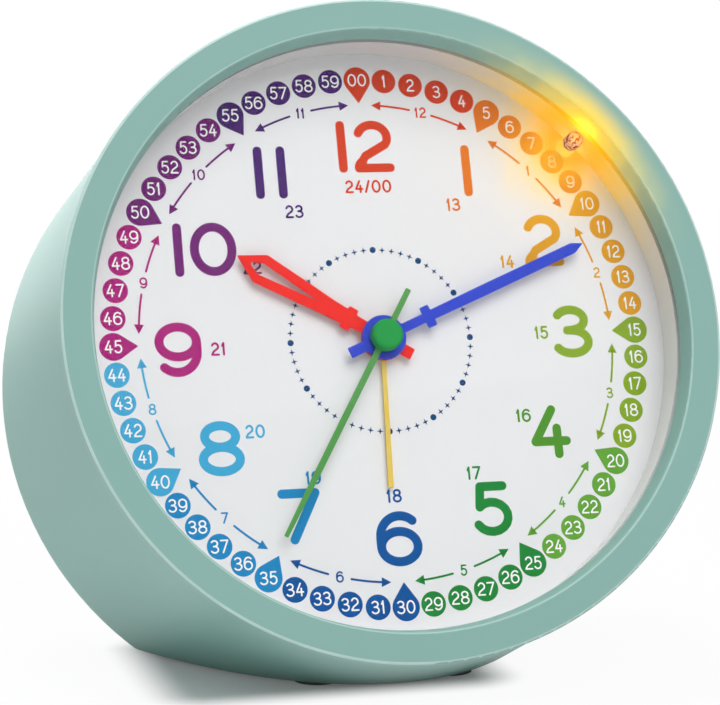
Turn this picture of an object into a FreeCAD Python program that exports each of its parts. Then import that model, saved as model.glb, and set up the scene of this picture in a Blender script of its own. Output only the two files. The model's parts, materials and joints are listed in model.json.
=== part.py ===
import FreeCAD, Part
import math
import os
import Sketcher

# A kids' alarm clock with a night light.
# A round drum stands on a flat cut of its own side and leans back. A deep ring bezel, a clear lens
# and a white reflector surround the dial. Behind the dial are a four-hand quartz alarm movement,
# a night-light lamp, a sounder, two AA cells and the setting knobs.
#
# Most pieces are drawn in the clock's own axes: X to three o'clock, Y to twelve o'clock and Z out
# of the dial, with zero at the middle of the bezel's front edge. Depths behind it are negative Z.
# The row's axes are X to the right, Y to the back and Z up, with zero under the middle of the clock.

doc = FreeCAD.newDocument("alarm_clock")
sheet = doc.addObject("Spreadsheet::Sheet", "Sizes")

# Driving sizes: millimetres, degrees and tooth counts
DRIVING = {
    # stance
    "lean": 19.65,
    "foot_drop": 62.4,
    "pad_proud": 0.5,
    "pad_radius": 4.0,
    "pad_recess": 1.0,
    "pad_front_x": 12.0,
    "pad_front_y": -19.0,
    "pad_rear_x": 29.0,
    "pad_rear_y": 7.0,
    # bezel, lens and reflector
    "bezel_radius": 57.5,
    "bezel_rise": 1.0,
    "bezel_flange": 1.2,
    "bezel_edge": 0.5,
    "bezel_inner_edge": 0.5,
    "opening_radius": 52.1,
    "lip_radius": 51.4,
    "lip_depth": 2.6,
    "skirt_wall": 1.6,
    "skirt_depth": 7.0,
    "seam": 0.35,
    "lens_thickness": 1.5,
    "reflector_wall": 0.9,
    "reflector_flare": 0.6,
    "reflector_flange": 2.4,
    "seat_gap": 0.15,
    # case
    "shell_front_radius": 57.1,
    "shell_rear_radius": 60.2,
    "shell_depth": 62.8,
    "shell_round": 6.0,
    "shell_wall": 2.2,
    "ledge": 2.2,
    "chord_ledge": 1.0,
    "boss_circle": 49.0,
    "boss_angle": 30.0,
    "boss_radius": 3.5,
    "boss_rib": 2.0,
    # dial and chassis
    "dial_depth": 12.2,
    "dial_thickness": 1.0,
    "dial_radius": 54.0,
    "chassis_radius": 55.1,
    "chassis_thickness": 2.5,
    # movement case and its shafts
    "movement_half": 24.0,
    "movement_wall": 1.5,
    "movement_depth": 18.0,
    "front_case_depth": 7.0,
    "ear_reach": 31.0,
    "ear_half": 4.0,
    "ear_screw_x": 27.8,
    "mid_plate": 1.2,
    "wheel_thick": 0.8,
    "wheel_gap": 0.4,
    "tooth_extra": 0.1,
    "running_fit": 0.06,
    "pivot_fit": 0.04,
    "second_shaft": 0.6,
    "minute_tube": 1.2,
    "hour_tube": 1.85,
    "alarm_tube": 2.5,
    "ferrule": 3.4,
    "arbor": 0.6,
    "pivot": 0.35,
    "pivot_depth": 1.0,
    "stud": 0.8,
    "setting_shaft": 1.0,
    # train: modules, teeth and directions of the arbors from the centre
    "fine_module": 0.3,
    "second_module": 0.35,
    "motion_module": 0.4,
    "rotor_pinion_teeth": 10,
    "step_wheel_teeth": 50,
    "step_pinion_teeth": 10,
    "second_wheel_teeth": 60,
    "second_pinion_teeth": 7,
    "third_wheel_teeth": 70,
    "third_pinion_teeth": 11,
    "centre_wheel_teeth": 66,
    "cannon_pinion_teeth": 10,
    "motion_wheel_teeth": 30,
    "motion_pinion_teeth": 8,
    "hour_wheel_teeth": 32,
    "time_gear_teeth": 20,
    "alarm_wheel_teeth": 40,
    "alarm_gear_teeth": 24,
    "third_direction": 225.0,
    "step_direction": 315.0,
    "rotor_direction": 20.0,
    "motion_direction": 60.0,
    "time_direction": -5.0,
    "alarm_direction": 150.0,
    "magnet_radius": 2.3,
    "magnet_height": 1.6,
    "stator_thick": 1.0,
    "stator_gap": 0.5,
    "coil_radius": 2.7,
    "coil_length": 20.0,
    "coil_y": -19.4,
    "stator_rim": 1.5,
    "stator_end": 3.0,
    # the movement's own board, in its upper part
    "inner_board_half": 20.0,
    "inner_board_low": 11.0,
    "inner_board_high": 21.0,
    "inner_chip": 6.0,
    "inner_chip_low": 13.0,
    "crystal_x": 16.0,
    "crystal_radius": 1.5,
    "crystal_length": 6.0,
    "leaf_low": 14.0,
    "leaf_width": 3.0,
    "leaf_length": 14.0,
    # hands, with the time they show
    "hand_thick": 0.35,
    "hand_step": 0.65,
    "hand_hub": 3.9,
    "hub_recess": 2.6,
    "recess_depth": 0.2,
    "press_gap": 0.02,
    "hour_angle": 302.0,
    "minute_angle": 67.4,
    "second_angle": 211.2,
    "alarm_angle": 182.0,
    "hour_length": 28.8,
    "minute_length": 41.0,
    "second_length": 39.4,
    "alarm_length": 26.0,
    "alarm_hub": 3.3,
    "second_hub": 2.1,
    "second_tail": 9.6,
    "cap_radius": 2.7,
    "cap_height": 2.3,
    "cap_edge": 0.7,
    # night light
    "lamp_angle": 47.8,
    "lamp_circle": 50.6,
    "lamp_radius": 1.5,
    "lamp_height": 6.5,
    "lamp_notch_room": 0.5,
    "lamp_flange": 0.4,
    "lamp_foot": 0.8,
    "lamp_holder": 3.0,
    "lead_radius": 0.2,
    "lead_spacing": 1.2,
    # rear cover and its battery bay
    "cover_thick": 2.6,
    "cover_radius": 52.4,
    "cover_gap": 0.25,
    "cover_chord": -40.9,
    "bay_top": -8.0,
    "bay_wall": 1.5,
    "cell_radius": 7.25,
    "cell_length": 50.5,
    "cell_gap": 0.4,
    "contact_room": 1.95,
    "contact_thick": 0.4,
    "contact_half": 5.0,
    "door_thick": 2.2,
    "door_margin": 1.2,
    "door_gap": 0.3,
    "door_pin": 0.6,
    "door_pin_length": 1.2,
    "grip_half": 7.0,
    "grip_inset": 3.0,
    "grip_pitch": 2.0,
    "grip_rib": 0.8,
    "grip_proud": 0.4,
    "cell_nub": 1.2,
    "cell_nub_radius": 2.75,
    "knob_radius": 7.2,
    "knob_height": 7.5,
    "knob_gap": 0.5,
    "knob_grooves": 24,
    "knob_groove": 0.4,
    "knob_edge": 0.8,
    "screw_head": 2.2,
    "screw_head_height": 1.2,
    "screw_shank": 1.2,
    "screw_length": 8.0,
    "driver_slot": 0.4,
    # circuit board, sounder and alarm switch
    "board_half": 30.0,
    "board_low": 20.0,
    "board_high": 40.0,
    "board_thick": 1.2,
    "board_lift": 5.0,
    "board_clear": 0.3,
    "post_inset": 3.0,
    "chip_height": 1.2,
    "chip_short": 3.5,
    "sounder_x": -17.0,
    "switch_x": 19.0,
    "part_row_y": 30.0,
    "sounder_radius": 10.0,
    "sounder_mouth": 1.2,
    "sound_hole": 0.8,
    "switch_half": 5.0,
    "slider_half": 1.2,
    "slider_travel": 4.0,
    "slider_gap": 0.2,
    "slider_edge": 0.4,
    "slider_cap": 3.6,
    "slider_cap_short": 2.5,
    # top button
    "button_depth": 32.0,
    "button_half": 15.0,
    "button_width": 13.0,
    "button_proud": 3.2,
    "button_gap": 0.25,
    "button_travel": 1.5,
    "button_flange": 1.5,
    "button_flange_top": 53.2,
    "button_board_y": 44.6,
    "button_post_x": 20.0,
    "button_post": 2.0,
    "button_edge": 1.9,
    "tact_height": 3.5,
    "tact_half": 3.0,
    "plunger_radius": 1.6,
}


class Size:
    """A size as the document writes it, with the value that it has now."""

    def __init__(self, text, value):
        self.text = text
        self.value = value

    def __add__(self, other):
        other = as_size(other)
        return Size(f"({self.text} + {other.text})", self.value + other.value)

    def __sub__(self, other):
        other = as_size(other)
        return Size(f"({self.text} - {other.text})", self.value - other.value)

    def __mul__(self, other):
        other = as_size(other)
        return Size(f"({self.text} * {other.text})", self.value * other.value)

    def __truediv__(self, other):
        other = as_size(other)
        return Size(f"({self.text} / {other.text})", self.value / other.value)

    def __neg__(self):
        return Size(f"(0 - {self.text})", -self.value)

    def __radd__(self, other):
        return as_size(other) + self

    def __rsub__(self, other):
        return as_size(other) - self

    def __rmul__(self, other):
        return as_size(other) * self

    def __rtruediv__(self, other):
        return as_size(other) / self


def as_size(number):
    if isinstance(number, Size):
        return number
    return Size(f"({number})", number)


def sine(angle):
    angle = as_size(angle)
    return Size(f"sin({angle.text})", math.sin(math.radians(angle.value)))


def cosine(angle):
    angle = as_size(angle)
    return Size(f"cos({angle.text})", math.cos(math.radians(angle.value)))


class Named:
    """The driving sizes by name."""


s = Named()
for row, (name, value) in enumerate(DRIVING.items(), start=1):
    sheet.set(f"A{row}", name)
    sheet.set(f"B{row}", str(value))
    sheet.setAlias(f"B{row}", name)
    setattr(s, name, Size(f"Sizes.{name}", value))
doc.recompute()


# Helpers that draw bound sketches and features

def bind(thing, member, size):
    thing.setExpression(member, as_size(size).text)


def bind_constraint(sketch, constraint, size):
    index = sketch.addConstraint(constraint)
    bind(sketch, f"Constraints[{index}]", size)


def pin_point(sketch, geometry, point, x, y):
    x, y = as_size(x), as_size(y)
    bind_constraint(sketch, Sketcher.Constraint("DistanceX", -1, 1, geometry, point, x.value), x)
    bind_constraint(sketch, Sketcher.Constraint("DistanceY", -1, 1, geometry, point, y.value), y)


def circle(radius, x=0, y=0):
    radius, x, y = as_size(radius), as_size(x), as_size(y)

    def draw(sketch):
        centre = FreeCAD.Vector(x.value, y.value, 0)
        disc = sketch.addGeometry(Part.Circle(centre, FreeCAD.Vector(0, 0, 1), radius.value), False)
        pin_point(sketch, disc, 3, x, y)
        bind_constraint(sketch, Sketcher.Constraint("Radius", disc, radius.value), radius)
    return draw


def outline(points):
    points = [(as_size(x), as_size(y)) for x, y in points]

    def draw(sketch):
        corners = [FreeCAD.Vector(x.value, y.value, 0) for x, y in points]
        count = len(corners)
        sides = [Part.LineSegment(corners[i], corners[(i + 1) % count]) for i in range(count)]
        first = sketch.addGeometry(sides, False)[0]
        for i in range(count):
            after = first + (i + 1) % count
            sketch.addConstraint(Sketcher.Constraint("Coincident", first + i, 2, after, 1))
        for i, (x, y) in enumerate(points):
            pin_point(sketch, first + i, 1, x, y)
    return draw


def box(left, low, right, high):
    return outline([(left, low), (right, low), (right, high), (left, high)])


def mirrored(half):
    """An outline symmetric about its Y axis, from the points of its right half."""
    return outline(half + [(-as_size(x), y) for x, y in reversed(half)])


def around(angle, points):
    """Points turned about zero by an angle in degrees."""
    return [(x * cosine(angle) - y * sine(angle), x * sine(angle) + y * cosine(angle))
            for x, y in ((as_size(x), as_size(y)) for x, y in points)]


NORMALS = {"XY_Plane": 1, "XZ_Plane": -1, "YZ_Plane": 1}


def new_sketch(body, plane, shapes, height, turn):
    sketch = body.newObject("Sketcher::SketchObject", f"{body.Name}_sketch")
    support = [item for item in body.Origin.OriginFeatures if item.Role == plane][0]
    sketch.AttachmentSupport = [(support, "")]
    sketch.MapMode = "FlatFace"
    spin = FreeCAD.Rotation(FreeCAD.Vector(0, 0, 1), as_size(turn).value)
    sketch.AttachmentOffset = FreeCAD.Placement(FreeCAD.Vector(), spin)
    bind(sketch, "AttachmentOffset.Base.z", NORMALS[plane] * as_size(height))
    if isinstance(turn, Size):
        bind(sketch, "AttachmentOffset.Rotation.Angle", turn)
    for draw in shapes:
        draw(sketch)
    return sketch


def slab(body, shapes, top, thick, plane="XY_Plane", turn=0):
    """Adds a prism that reaches from top towards lower values along the plane's axis."""
    pad = body.newObject("PartDesign::Pad", f"{body.Name}_pad")
    pad.Profile = new_sketch(body, plane, shapes, top, turn)
    pad.Reversed = NORMALS[plane] > 0
    bind(pad, "Length", thick)
    body.Tip = pad
    return pad


def cut(body, shapes, top, depth, plane="XY_Plane", turn=0):
    """Takes away a prism that reaches from top towards lower values along the plane's axis."""
    pocket = body.newObject("PartDesign::Pocket", f"{body.Name}_cut")
    pocket.Profile = new_sketch(body, plane, shapes, top, turn)
    pocket.Reversed = NORMALS[plane] < 0
    bind(pocket, "Length", depth)
    body.Tip = pocket
    return pocket


def turned(body, points):
    """Adds the solid that an outline of (radius, height) points makes about the body's Z axis."""
    solid = body.newObject("PartDesign::Revolution", f"{body.Name}_turned")
    solid.Profile = new_sketch(body, "XZ_Plane", [outline(points)], 0, 0)
    axis = [item for item in body.Origin.OriginFeatures if item.Role == "Z_Axis"][0]
    solid.ReferenceAxis = (axis, [""])
    solid.Angle = 360
    body.Tip = solid
    return solid


def fillet(body, radius, chosen):
    """Rounds the edges of the body's last feature that the test picks."""
    doc.recompute()
    base = body.Tip
    names = [f"Edge{i}" for i, edge in enumerate(base.Shape.Edges, start=1) if chosen(edge)]
    rounding = body.newObject("PartDesign::Fillet", f"{body.Name}_round")
    rounding.Base = (base, names)
    bind(rounding, "Radius", radius)
    body.Tip = rounding
    return rounding


def repeat_round(body, feature, count):
    pattern = body.newObject("PartDesign::PolarPattern", f"{body.Name}_pattern")
    pattern.Originals = [feature]
    axis = [item for item in body.Origin.OriginFeatures if item.Role == "Z_Axis"][0]
    pattern.Axis = (axis, [""])
    pattern.Angle = 360
    bind(pattern, "Occurrences", count)
    body.Tip = pattern
    return pattern


def span(edge, axis):
    """The lowest and highest value that an edge reaches along an axis, 0 to 2."""
    bounds = edge.BoundBox
    low = (bounds.XMin, bounds.YMin, bounds.ZMin)[axis]
    high = (bounds.XMax, bounds.YMax, bounds.ZMax)[axis]
    return low, high


def level(axis, size):
    """A test for edges that lie wholly at one value of an axis."""
    value = as_size(size).value

    def test(edge):
        low, high = span(edge, axis)
        return abs(low - value) < 1e-3 and abs(high - value) < 1e-3
    return test


def ring_edge(radius, height):
    """A test for the full circle of a radius at a height."""
    flat = level(2, height)
    wide = as_size(radius).value

    def test(edge):
        return flat(edge) and abs(span(edge, 0)[1] - wide) < 1e-3 and len(edge.Vertexes) == 1
    return test


# Where the clock's axes stand in the row's axes

rear_z = -s.shell_depth
front_reach = ((s.bezel_radius - s.bezel_edge) * sine(s.lean)
               + (s.bezel_rise - s.bezel_edge) * cosine(s.lean) + s.bezel_edge)
rear_reach = ((s.shell_rear_radius - s.shell_round) * sine(s.lean)
              + (s.shell_depth - s.shell_round) * cosine(s.lean) + s.shell_round)
centre_y = (front_reach - rear_reach) / 2
centre_z = s.foot_drop + s.pad_proud

subparts = []


def clock_body(label, x=0, y=0, part=True):
    """A body in the clock's axes, with its own zero moved to (x, y) on the dial."""
    body = doc.addObject("PartDesign::Body", label)
    body.Label = label
    body.AllowCompound = True
    lay_back = FreeCAD.Rotation(FreeCAD.Vector(1, 0, 0), 90 - s.lean.value)
    body.Placement = FreeCAD.Placement(FreeCAD.Vector(), lay_back)
    bind(body, "Placement.Rotation.Angle", 90 - s.lean)
    bind(body, "Placement.Base.x", x)
    bind(body, "Placement.Base.y", centre_y + as_size(y) * sine(s.lean))
    bind(body, "Placement.Base.z", centre_z + as_size(y) * cosine(s.lean))
    if part:
        subparts.append(body)
    return body


def row_body(label, part=True):
    """A body in the row's own axes."""
    body = doc.addObject("PartDesign::Body", label)
    body.Label = label
    body.AllowCompound = True
    if part:
        subparts.append(body)
    return body


def joined(kind, label, part=False, **links):
    result = doc.addObject(kind, label)
    result.Label = label
    for name, value in links.items():
        setattr(result, name, value)
    if part:
        subparts.append(result)
    return result


# Heights along the clock's Z axis

shell_front = -(s.bezel_flange + s.seam)
dial_front = -s.dial_depth
dial_back = dial_front - s.dial_thickness
chassis_back = dial_back - s.chassis_thickness
plate_back = chassis_back - s.movement_wall
wheel_pitch = s.wheel_thick + s.wheel_gap
alarm_level = plate_back - s.wheel_gap
hour_level = alarm_level - wheel_pitch
motion_level = hour_level - wheel_pitch
mid_front = motion_level - wheel_pitch
mid_back = mid_front - s.mid_plate
centre_level = mid_back - s.wheel_gap
third_level = centre_level - wheel_pitch
second_level = third_level - wheel_pitch
step_level = second_level - wheel_pitch
magnet_level = step_level - wheel_pitch
movement_back = chassis_back - s.movement_depth
movement_inner_back = movement_back + s.movement_wall
case_split = chassis_back - s.front_case_depth
cover_front = rear_z + s.cover_thick

lens_back = -(s.lip_depth + s.lens_thickness)
skirt_inner = s.shell_front_radius - s.shell_wall - s.seat_gap - s.skirt_wall
boss_directions = [s.boss_angle, 180 - s.boss_angle, 180 + s.boss_angle, 360 - s.boss_angle]
boss_places = [(s.boss_circle * cosine(a), s.boss_circle * sine(a)) for a in boss_directions]
lamp_x = s.lamp_circle * sine(s.lamp_angle)
lamp_y = s.lamp_circle * cosine(s.lamp_angle)


def floor_line(height, above=0):
    """The dial-side Y of the clock's flat foot at a height along Z, raised by above."""
    return (above - s.foot_drop - height * sine(s.lean)) / cosine(s.lean)


# Bezel, lens and reflector

bezel = clock_body("front_bezel")
skirt_outer = s.shell_front_radius - s.shell_wall - s.seat_gap
turned(bezel, [
    (s.lip_radius, -s.lip_depth),
    (s.opening_radius, s.bezel_rise),
    (s.bezel_radius, s.bezel_rise),
    (s.bezel_radius, -s.bezel_flange),
    (skirt_outer, -s.bezel_flange),
    (skirt_outer, -s.skirt_depth),
    (skirt_inner, -s.skirt_depth),
    (skirt_inner, -s.lip_depth),
])
fillet(bezel, s.bezel_edge, ring_edge(s.bezel_radius, s.bezel_rise))
fillet(bezel, s.bezel_inner_edge, ring_edge(s.opening_radius, s.bezel_rise))

lens = clock_body("lens")
slab(lens, [circle(skirt_inner - s.seat_gap)], -s.lip_depth, s.lens_thickness)

reflector = clock_body("reflector_ring")
ring_top = lens_back - s.seat_gap
ring_low = s.lip_radius + s.reflector_flare
turned(reflector, [
    (s.lip_radius, ring_top),
    (s.lip_radius + s.reflector_wall, ring_top),
    (ring_low + s.reflector_wall, dial_front + s.reflector_wall),
    (ring_low + s.reflector_flange, dial_front + s.reflector_wall),
    (ring_low + s.reflector_flange, dial_front),
    (ring_low, dial_front),
])
lamp_notch = [circle(s.lamp_radius + s.seat_gap, lamp_x, lamp_y)]
cut(reflector, lamp_notch, dial_front + s.lamp_height + s.lamp_notch_room, s.dial_depth)

# Dial, chassis and night light

dial = clock_body("dial_plate")
slab(dial, [circle(s.dial_radius), circle(s.ferrule + s.seat_gap),
            circle(s.lamp_radius + s.seat_gap, lamp_x, lamp_y)], dial_front, s.dial_thickness)

chassis = clock_body("chassis")
screw_hole = s.screw_shank + s.seat_gap
head_hole = s.screw_head + s.seat_gap
slab(chassis, [circle(s.chassis_radius), circle(s.ferrule + s.seat_gap),
               circle(s.lamp_radius + s.lamp_flange + s.seat_gap, lamp_x, lamp_y)]
     + [circle(screw_hole, x, y) for x, y in boss_places], dial_back, s.chassis_thickness)
cut(chassis, [circle(head_hole, x, y) for x, y in boss_places], dial_back, s.screw_head_height)
ear_places = [(-s.ear_screw_x, 0), (s.ear_screw_x, 0)]
cut(chassis, [circle(s.screw_shank + s.press_gap, x, y) for x, y in ear_places],
    chassis_back + s.chassis_thickness - s.dial_thickness, s.chassis_thickness - s.dial_thickness)


def screws(label, places, head_top, length, toward_rear):
    """A group of equal screws whose axes lie along the clock's Z axis."""
    body = clock_body(label)
    shank_top = head_top - s.screw_head_height if toward_rear else head_top + length
    slab(body, [circle(s.screw_shank, x, y) for x, y in places], shank_top, length)
    slab(body, [circle(s.screw_head, x, y) for x, y in places], head_top, s.screw_head_height)
    slot_half = s.driver_slot / 2
    slots = [box(x - s.screw_shank, y - slot_half, x + s.screw_shank, y + slot_half)
             for x, y in places]
    deep = s.screw_head_height / 2
    cut(body, slots, head_top if toward_rear else head_top - s.screw_head_height + deep, deep)


screws("chassis_screws", boss_places, dial_back, s.screw_length, True)

lamp = clock_body("night_light_lamp", lamp_x, lamp_y)
lamp_top = dial_front + s.lamp_height
slab(lamp, [circle(s.lamp_radius)], lamp_top, s.lamp_height + s.dial_thickness)
fillet(lamp, s.lamp_radius * 0.9, ring_edge(s.lamp_radius, lamp_top))
slab(lamp, [circle(s.lamp_radius + s.lamp_flange)], dial_back, s.lamp_foot)
lead_sides = [-s.lead_spacing / 2, s.lead_spacing / 2]
slab(lamp, [circle(s.lead_radius, x) for x in lead_sides], dial_back - s.lamp_foot,
     s.chassis_thickness + s.movement_wall)

holder = clock_body("lamp_holder", lamp_x, lamp_y)
slab(holder, [circle(s.lamp_holder)] + [circle(s.lead_radius + s.running_fit, x) for x in lead_sides],
     chassis_back, s.movement_wall)

# Case shell: a flared drum with a rounded back, hollow, cut flat to stand on

over = as_size(1.0)


def foot_wedge(body, above, beyond):
    """Cuts away what lies below the flat foot, raised by above."""
    high, low = beyond, rear_z - beyond
    far = -2 * s.foot_drop
    cut(body, [outline([(floor_line(high, above), high), (floor_line(low, above), low), (far, low),
                        (far, high)])], s.bezel_radius * 2, s.bezel_radius * 4, "YZ_Plane")


outer = clock_body("shell_outer", part=False)
turned(outer, [(0, shell_front), (s.shell_front_radius, shell_front), (s.shell_rear_radius, rear_z),
               (0, rear_z)])
fillet(outer, s.shell_round, ring_edge(s.shell_rear_radius, rear_z))
foot_wedge(outer, 0, s.shell_depth)

back_wall = s.cover_thick + s.ledge
core = clock_body("shell_core", part=False)
turned(core, [(0, over), (s.shell_front_radius - s.shell_wall, over),
              (s.shell_front_radius - s.shell_wall, shell_front),
              (s.shell_rear_radius - s.shell_wall, rear_z + back_wall), (0, rear_z + back_wall)])
foot_wedge(core, s.shell_wall, s.shell_depth)

opening = clock_body("shell_opening", part=False)
seat_radius = s.cover_radius + s.cover_gap
seat_chord = s.cover_chord - s.cover_gap
opening_chord = s.cover_chord + s.chord_ledge


def below(chord):
    wide = s.shell_rear_radius * 2
    return [box(-wide, -wide, wide, chord)]


slab(opening, [circle(s.cover_radius - s.ledge)], rear_z + back_wall + over, back_wall + 2 * over)
cut(opening, below(opening_chord), 0, s.shell_depth * 2)

seat = clock_body("shell_seat", part=False)
slab(seat, [circle(seat_radius)], cover_front, s.cover_thick + over)
cut(seat, below(seat_chord), 0, s.shell_depth * 2)

bosses = clock_body("shell_bosses", part=False)
boss_end = rear_z + back_wall - over
boss_length = chassis_back - boss_end
slab(bosses, [circle(s.boss_radius, x, y) for x, y in boss_places], chassis_back, boss_length)
for direction in boss_directions:
    rib = around(direction, [(s.boss_circle, -s.boss_rib / 2), (s.shell_rear_radius, -s.boss_rib / 2),
                             (s.shell_rear_radius, s.boss_rib / 2), (s.boss_circle, s.boss_rib / 2)])
    slab(bosses, [outline(rib)], chassis_back, boss_length)
button_z = -s.button_depth
slab(bosses, [circle(s.button_post, side * s.button_post_x, button_z) for side in (-1, 1)],
     s.shell_rear_radius, s.shell_rear_radius - s.button_board_y, "XZ_Plane")

holes = clock_body("shell_holes", part=False)
slab(holes, [circle(s.screw_shank + s.press_gap, x, y) for x, y in boss_places], over,
     s.shell_depth)
slab(holes, [box(-s.button_half - s.button_gap, button_z - s.button_width / 2 - s.button_gap,
                 s.button_half + s.button_gap, button_z + s.button_width / 2 + s.button_gap)],
     s.shell_rear_radius + over, s.shell_rear_radius - s.button_board_y, "XZ_Plane")

pad_places = [(-s.pad_front_x, s.pad_front_y), (s.pad_front_x, s.pad_front_y),
              (-s.pad_rear_x, s.pad_rear_y), (s.pad_rear_x, s.pad_rear_y)]
pad_holes = row_body("shell_pad_holes", part=False)
slab(pad_holes, [circle(s.pad_radius + s.seat_gap, x, y) for x, y in pad_places],
     s.pad_proud + s.pad_recess, s.pad_recess + s.pad_proud)

hollow = joined("Part::Cut", "shell_hollow", Base=core, Tool=bosses)
tools = joined("Part::MultiFuse", "shell_tools", Shapes=[opening, seat, holes, pad_holes])
walls = joined("Part::Cut", "shell_walls", Base=outer, Tool=hollow)
joined("Part::Cut", "body_shell", part=True, Base=walls, Tool=tools)

pads = row_body("foot_pads")
slab(pads, [circle(s.pad_radius, x, y) for x, y in pad_places], s.pad_proud + s.pad_recess,
     s.pad_proud + s.pad_recess)

# Rear cover with the battery bay, and the door over it

pitch_half = s.cell_radius + s.cell_gap / 2
bay_high = s.bay_top
bay_low = bay_high - 4 * pitch_half - s.cell_gap
bay_half = s.cell_length / 2 + s.contact_room
bay_back = rear_z + s.door_thick
cell_z = bay_back + s.cell_gap + s.cell_radius
bay_front = cell_z + s.cell_radius + s.cell_gap
cell_rows = [bay_high - s.cell_gap - s.cell_radius, bay_low + s.cell_gap + s.cell_radius]
time_x = (s.motion_module * (s.cannon_pinion_teeth + s.motion_wheel_teeth) / 2
          * cosine(s.motion_direction)
          + s.motion_module * (s.motion_wheel_teeth + s.time_gear_teeth) / 2
          * cosine(s.time_direction))
time_y = (s.motion_module * (s.cannon_pinion_teeth + s.motion_wheel_teeth) / 2
          * sine(s.motion_direction)
          + s.motion_module * (s.motion_wheel_teeth + s.time_gear_teeth) / 2
          * sine(s.time_direction))
alarm_reach = s.motion_module * (s.alarm_wheel_teeth + s.alarm_gear_teeth) / 2
alarm_x = alarm_reach * cosine(s.alarm_direction)
alarm_y = alarm_reach * sine(s.alarm_direction)
shaft_hole = s.setting_shaft + s.running_fit
board_back = cover_front + s.board_lift
board_front = board_back + s.board_thick
post_x = s.board_half - s.post_inset
board_posts = [(-post_x, s.board_low + s.post_inset), (post_x, s.board_low + s.post_inset),
               (0, s.board_high - s.post_inset)]
slot_low = s.switch_x - s.slider_half - s.slider_gap
slot_high = s.switch_x + s.slider_half + s.slider_travel + s.slider_gap
slot_half = s.slider_half + s.slider_gap

cover = clock_body("rear_cover")
slab(cover, [circle(s.cover_radius)], cover_front, s.cover_thick)
cut(cover, below(s.cover_chord), 0, s.shell_depth * 2)
slab(cover, [box(-bay_half - s.bay_wall, bay_low - s.bay_wall, bay_half + s.bay_wall,
                 bay_high + s.bay_wall)], bay_front + s.bay_wall, bay_front + s.bay_wall - cover_front)
slab(cover, [circle(s.screw_head, x, y) for x, y in board_posts], board_back, s.board_lift)
cut(cover, [box(-bay_half, bay_low, bay_half, bay_high)], bay_front, bay_front - rear_z)
cut(cover, [box(-bay_half - s.door_margin, bay_low - s.door_margin, bay_half + s.door_margin,
                bay_high + s.door_margin)], bay_back, s.door_thick)
cut(cover, [circle(shaft_hole, time_x, time_y), circle(shaft_hole, alarm_x, alarm_y)]
    + [circle(screw_hole, x, y) for x, y in boss_places]
    + [box(slot_low, s.part_row_y - slot_half, slot_high, s.part_row_y + slot_half)],
    cover_front, s.cover_thick)
cut(cover, [circle(head_hole, x, y) for x, y in boss_places], rear_z + s.screw_head_height,
    s.screw_head_height)
cut(cover, [circle(s.screw_shank + s.press_gap, x, y) for x, y in board_posts], board_back,
    s.board_lift)
sound_step = s.sounder_radius / 3
sound_places = [(s.sounder_x, s.part_row_y)]
sound_places += [(s.sounder_x + sound_step * cosine(60 * k), s.part_row_y + sound_step * sine(60 * k))
                 for k in range(6)]
sound_places += [(s.sounder_x + 2 * sound_step * cosine(30 * k),
                  s.part_row_y + 2 * sound_step * sine(30 * k)) for k in range(12)]
cut(cover, [circle(s.sound_hole, x, y) for x, y in sound_places], cover_front, s.cover_thick)
hinge_y = bay_low - s.door_margin + s.door_gap + s.door_thick / 2
hinge_z = rear_z + s.door_thick / 2
door_half = bay_half + s.door_margin - s.door_gap
pin_room = s.door_gap + s.door_pin_length
for side_top in (bay_half + s.door_margin + pin_room, -bay_half - s.door_margin):
    cut(cover, [circle(s.door_pin + s.running_fit, hinge_y, hinge_z)], side_top, pin_room, "YZ_Plane")

door = clock_body("battery_door")
door_low = hinge_y - s.door_thick / 2
door_high = bay_high + s.door_margin - s.door_gap
slab(door, [box(-door_half, door_low, door_half, door_high)], bay_back, s.door_thick)
fillet(door, s.door_thick * 0.48, lambda edge: level(1, door_low)(edge) and span(edge, 0)[1] > 1
       and span(edge, 0)[0] < -1)
for side_top in (door_half + s.door_pin_length, -door_half):
    slab(door, [circle(s.door_pin, hinge_y, hinge_z)], side_top, s.door_pin_length, "YZ_Plane")
for k in range(4):
    rib_y = door_high - s.grip_inset - s.grip_pitch * k
    rib_x = s.grip_half - k
    slab(door, [box(-rib_x, rib_y - s.grip_rib / 2, rib_x, rib_y + s.grip_rib / 2)], rear_z,
         s.grip_proud)

# Cells and their contacts

for label, row_y, sign in (("cell_upper", cell_rows[0], 1), ("cell_lower", cell_rows[1], -1)):
    cell = clock_body(label)
    top = s.cell_length / 2 - s.cell_nub if sign > 0 else s.cell_length / 2
    slab(cell, [circle(s.cell_radius, row_y, cell_z)], top, s.cell_length - s.cell_nub, "YZ_Plane")
    nub_top = s.cell_length / 2 if sign > 0 else -s.cell_length / 2 + s.cell_nub
    slab(cell, [circle(s.cell_nub_radius, row_y, cell_z)], nub_top, s.cell_nub, "YZ_Plane")


def contact(label, side, low, high, bump_rows):
    """A pressed strip against an end wall of the bay, with a bump towards each cell it serves."""
    body = clock_body(label)
    wall = side * bay_half
    strip_top = wall if side > 0 else wall + s.contact_thick
    slab(body, [box(low, cell_z - s.contact_half, high, cell_z + s.contact_half)], strip_top,
         s.contact_thick, "YZ_Plane")
    reach = s.contact_room - s.contact_thick - s.press_gap
    bump_top = wall - s.contact_thick if side > 0 else wall + s.contact_thick + reach
    slab(body, [circle(s.contact_half / 2, row, cell_z) for row in bump_rows], bump_top, reach,
         "YZ_Plane")


contact("contact_bridge", 1, cell_rows[1] - s.contact_half, cell_rows[0] + s.contact_half, cell_rows)
contact("contact_negative", -1, cell_rows[0] - s.contact_half, cell_rows[0] + s.contact_half,
        cell_rows[:1])
contact("contact_positive", -1, cell_rows[1] - s.contact_half, cell_rows[1] + s.contact_half,
        cell_rows[1:])

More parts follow.
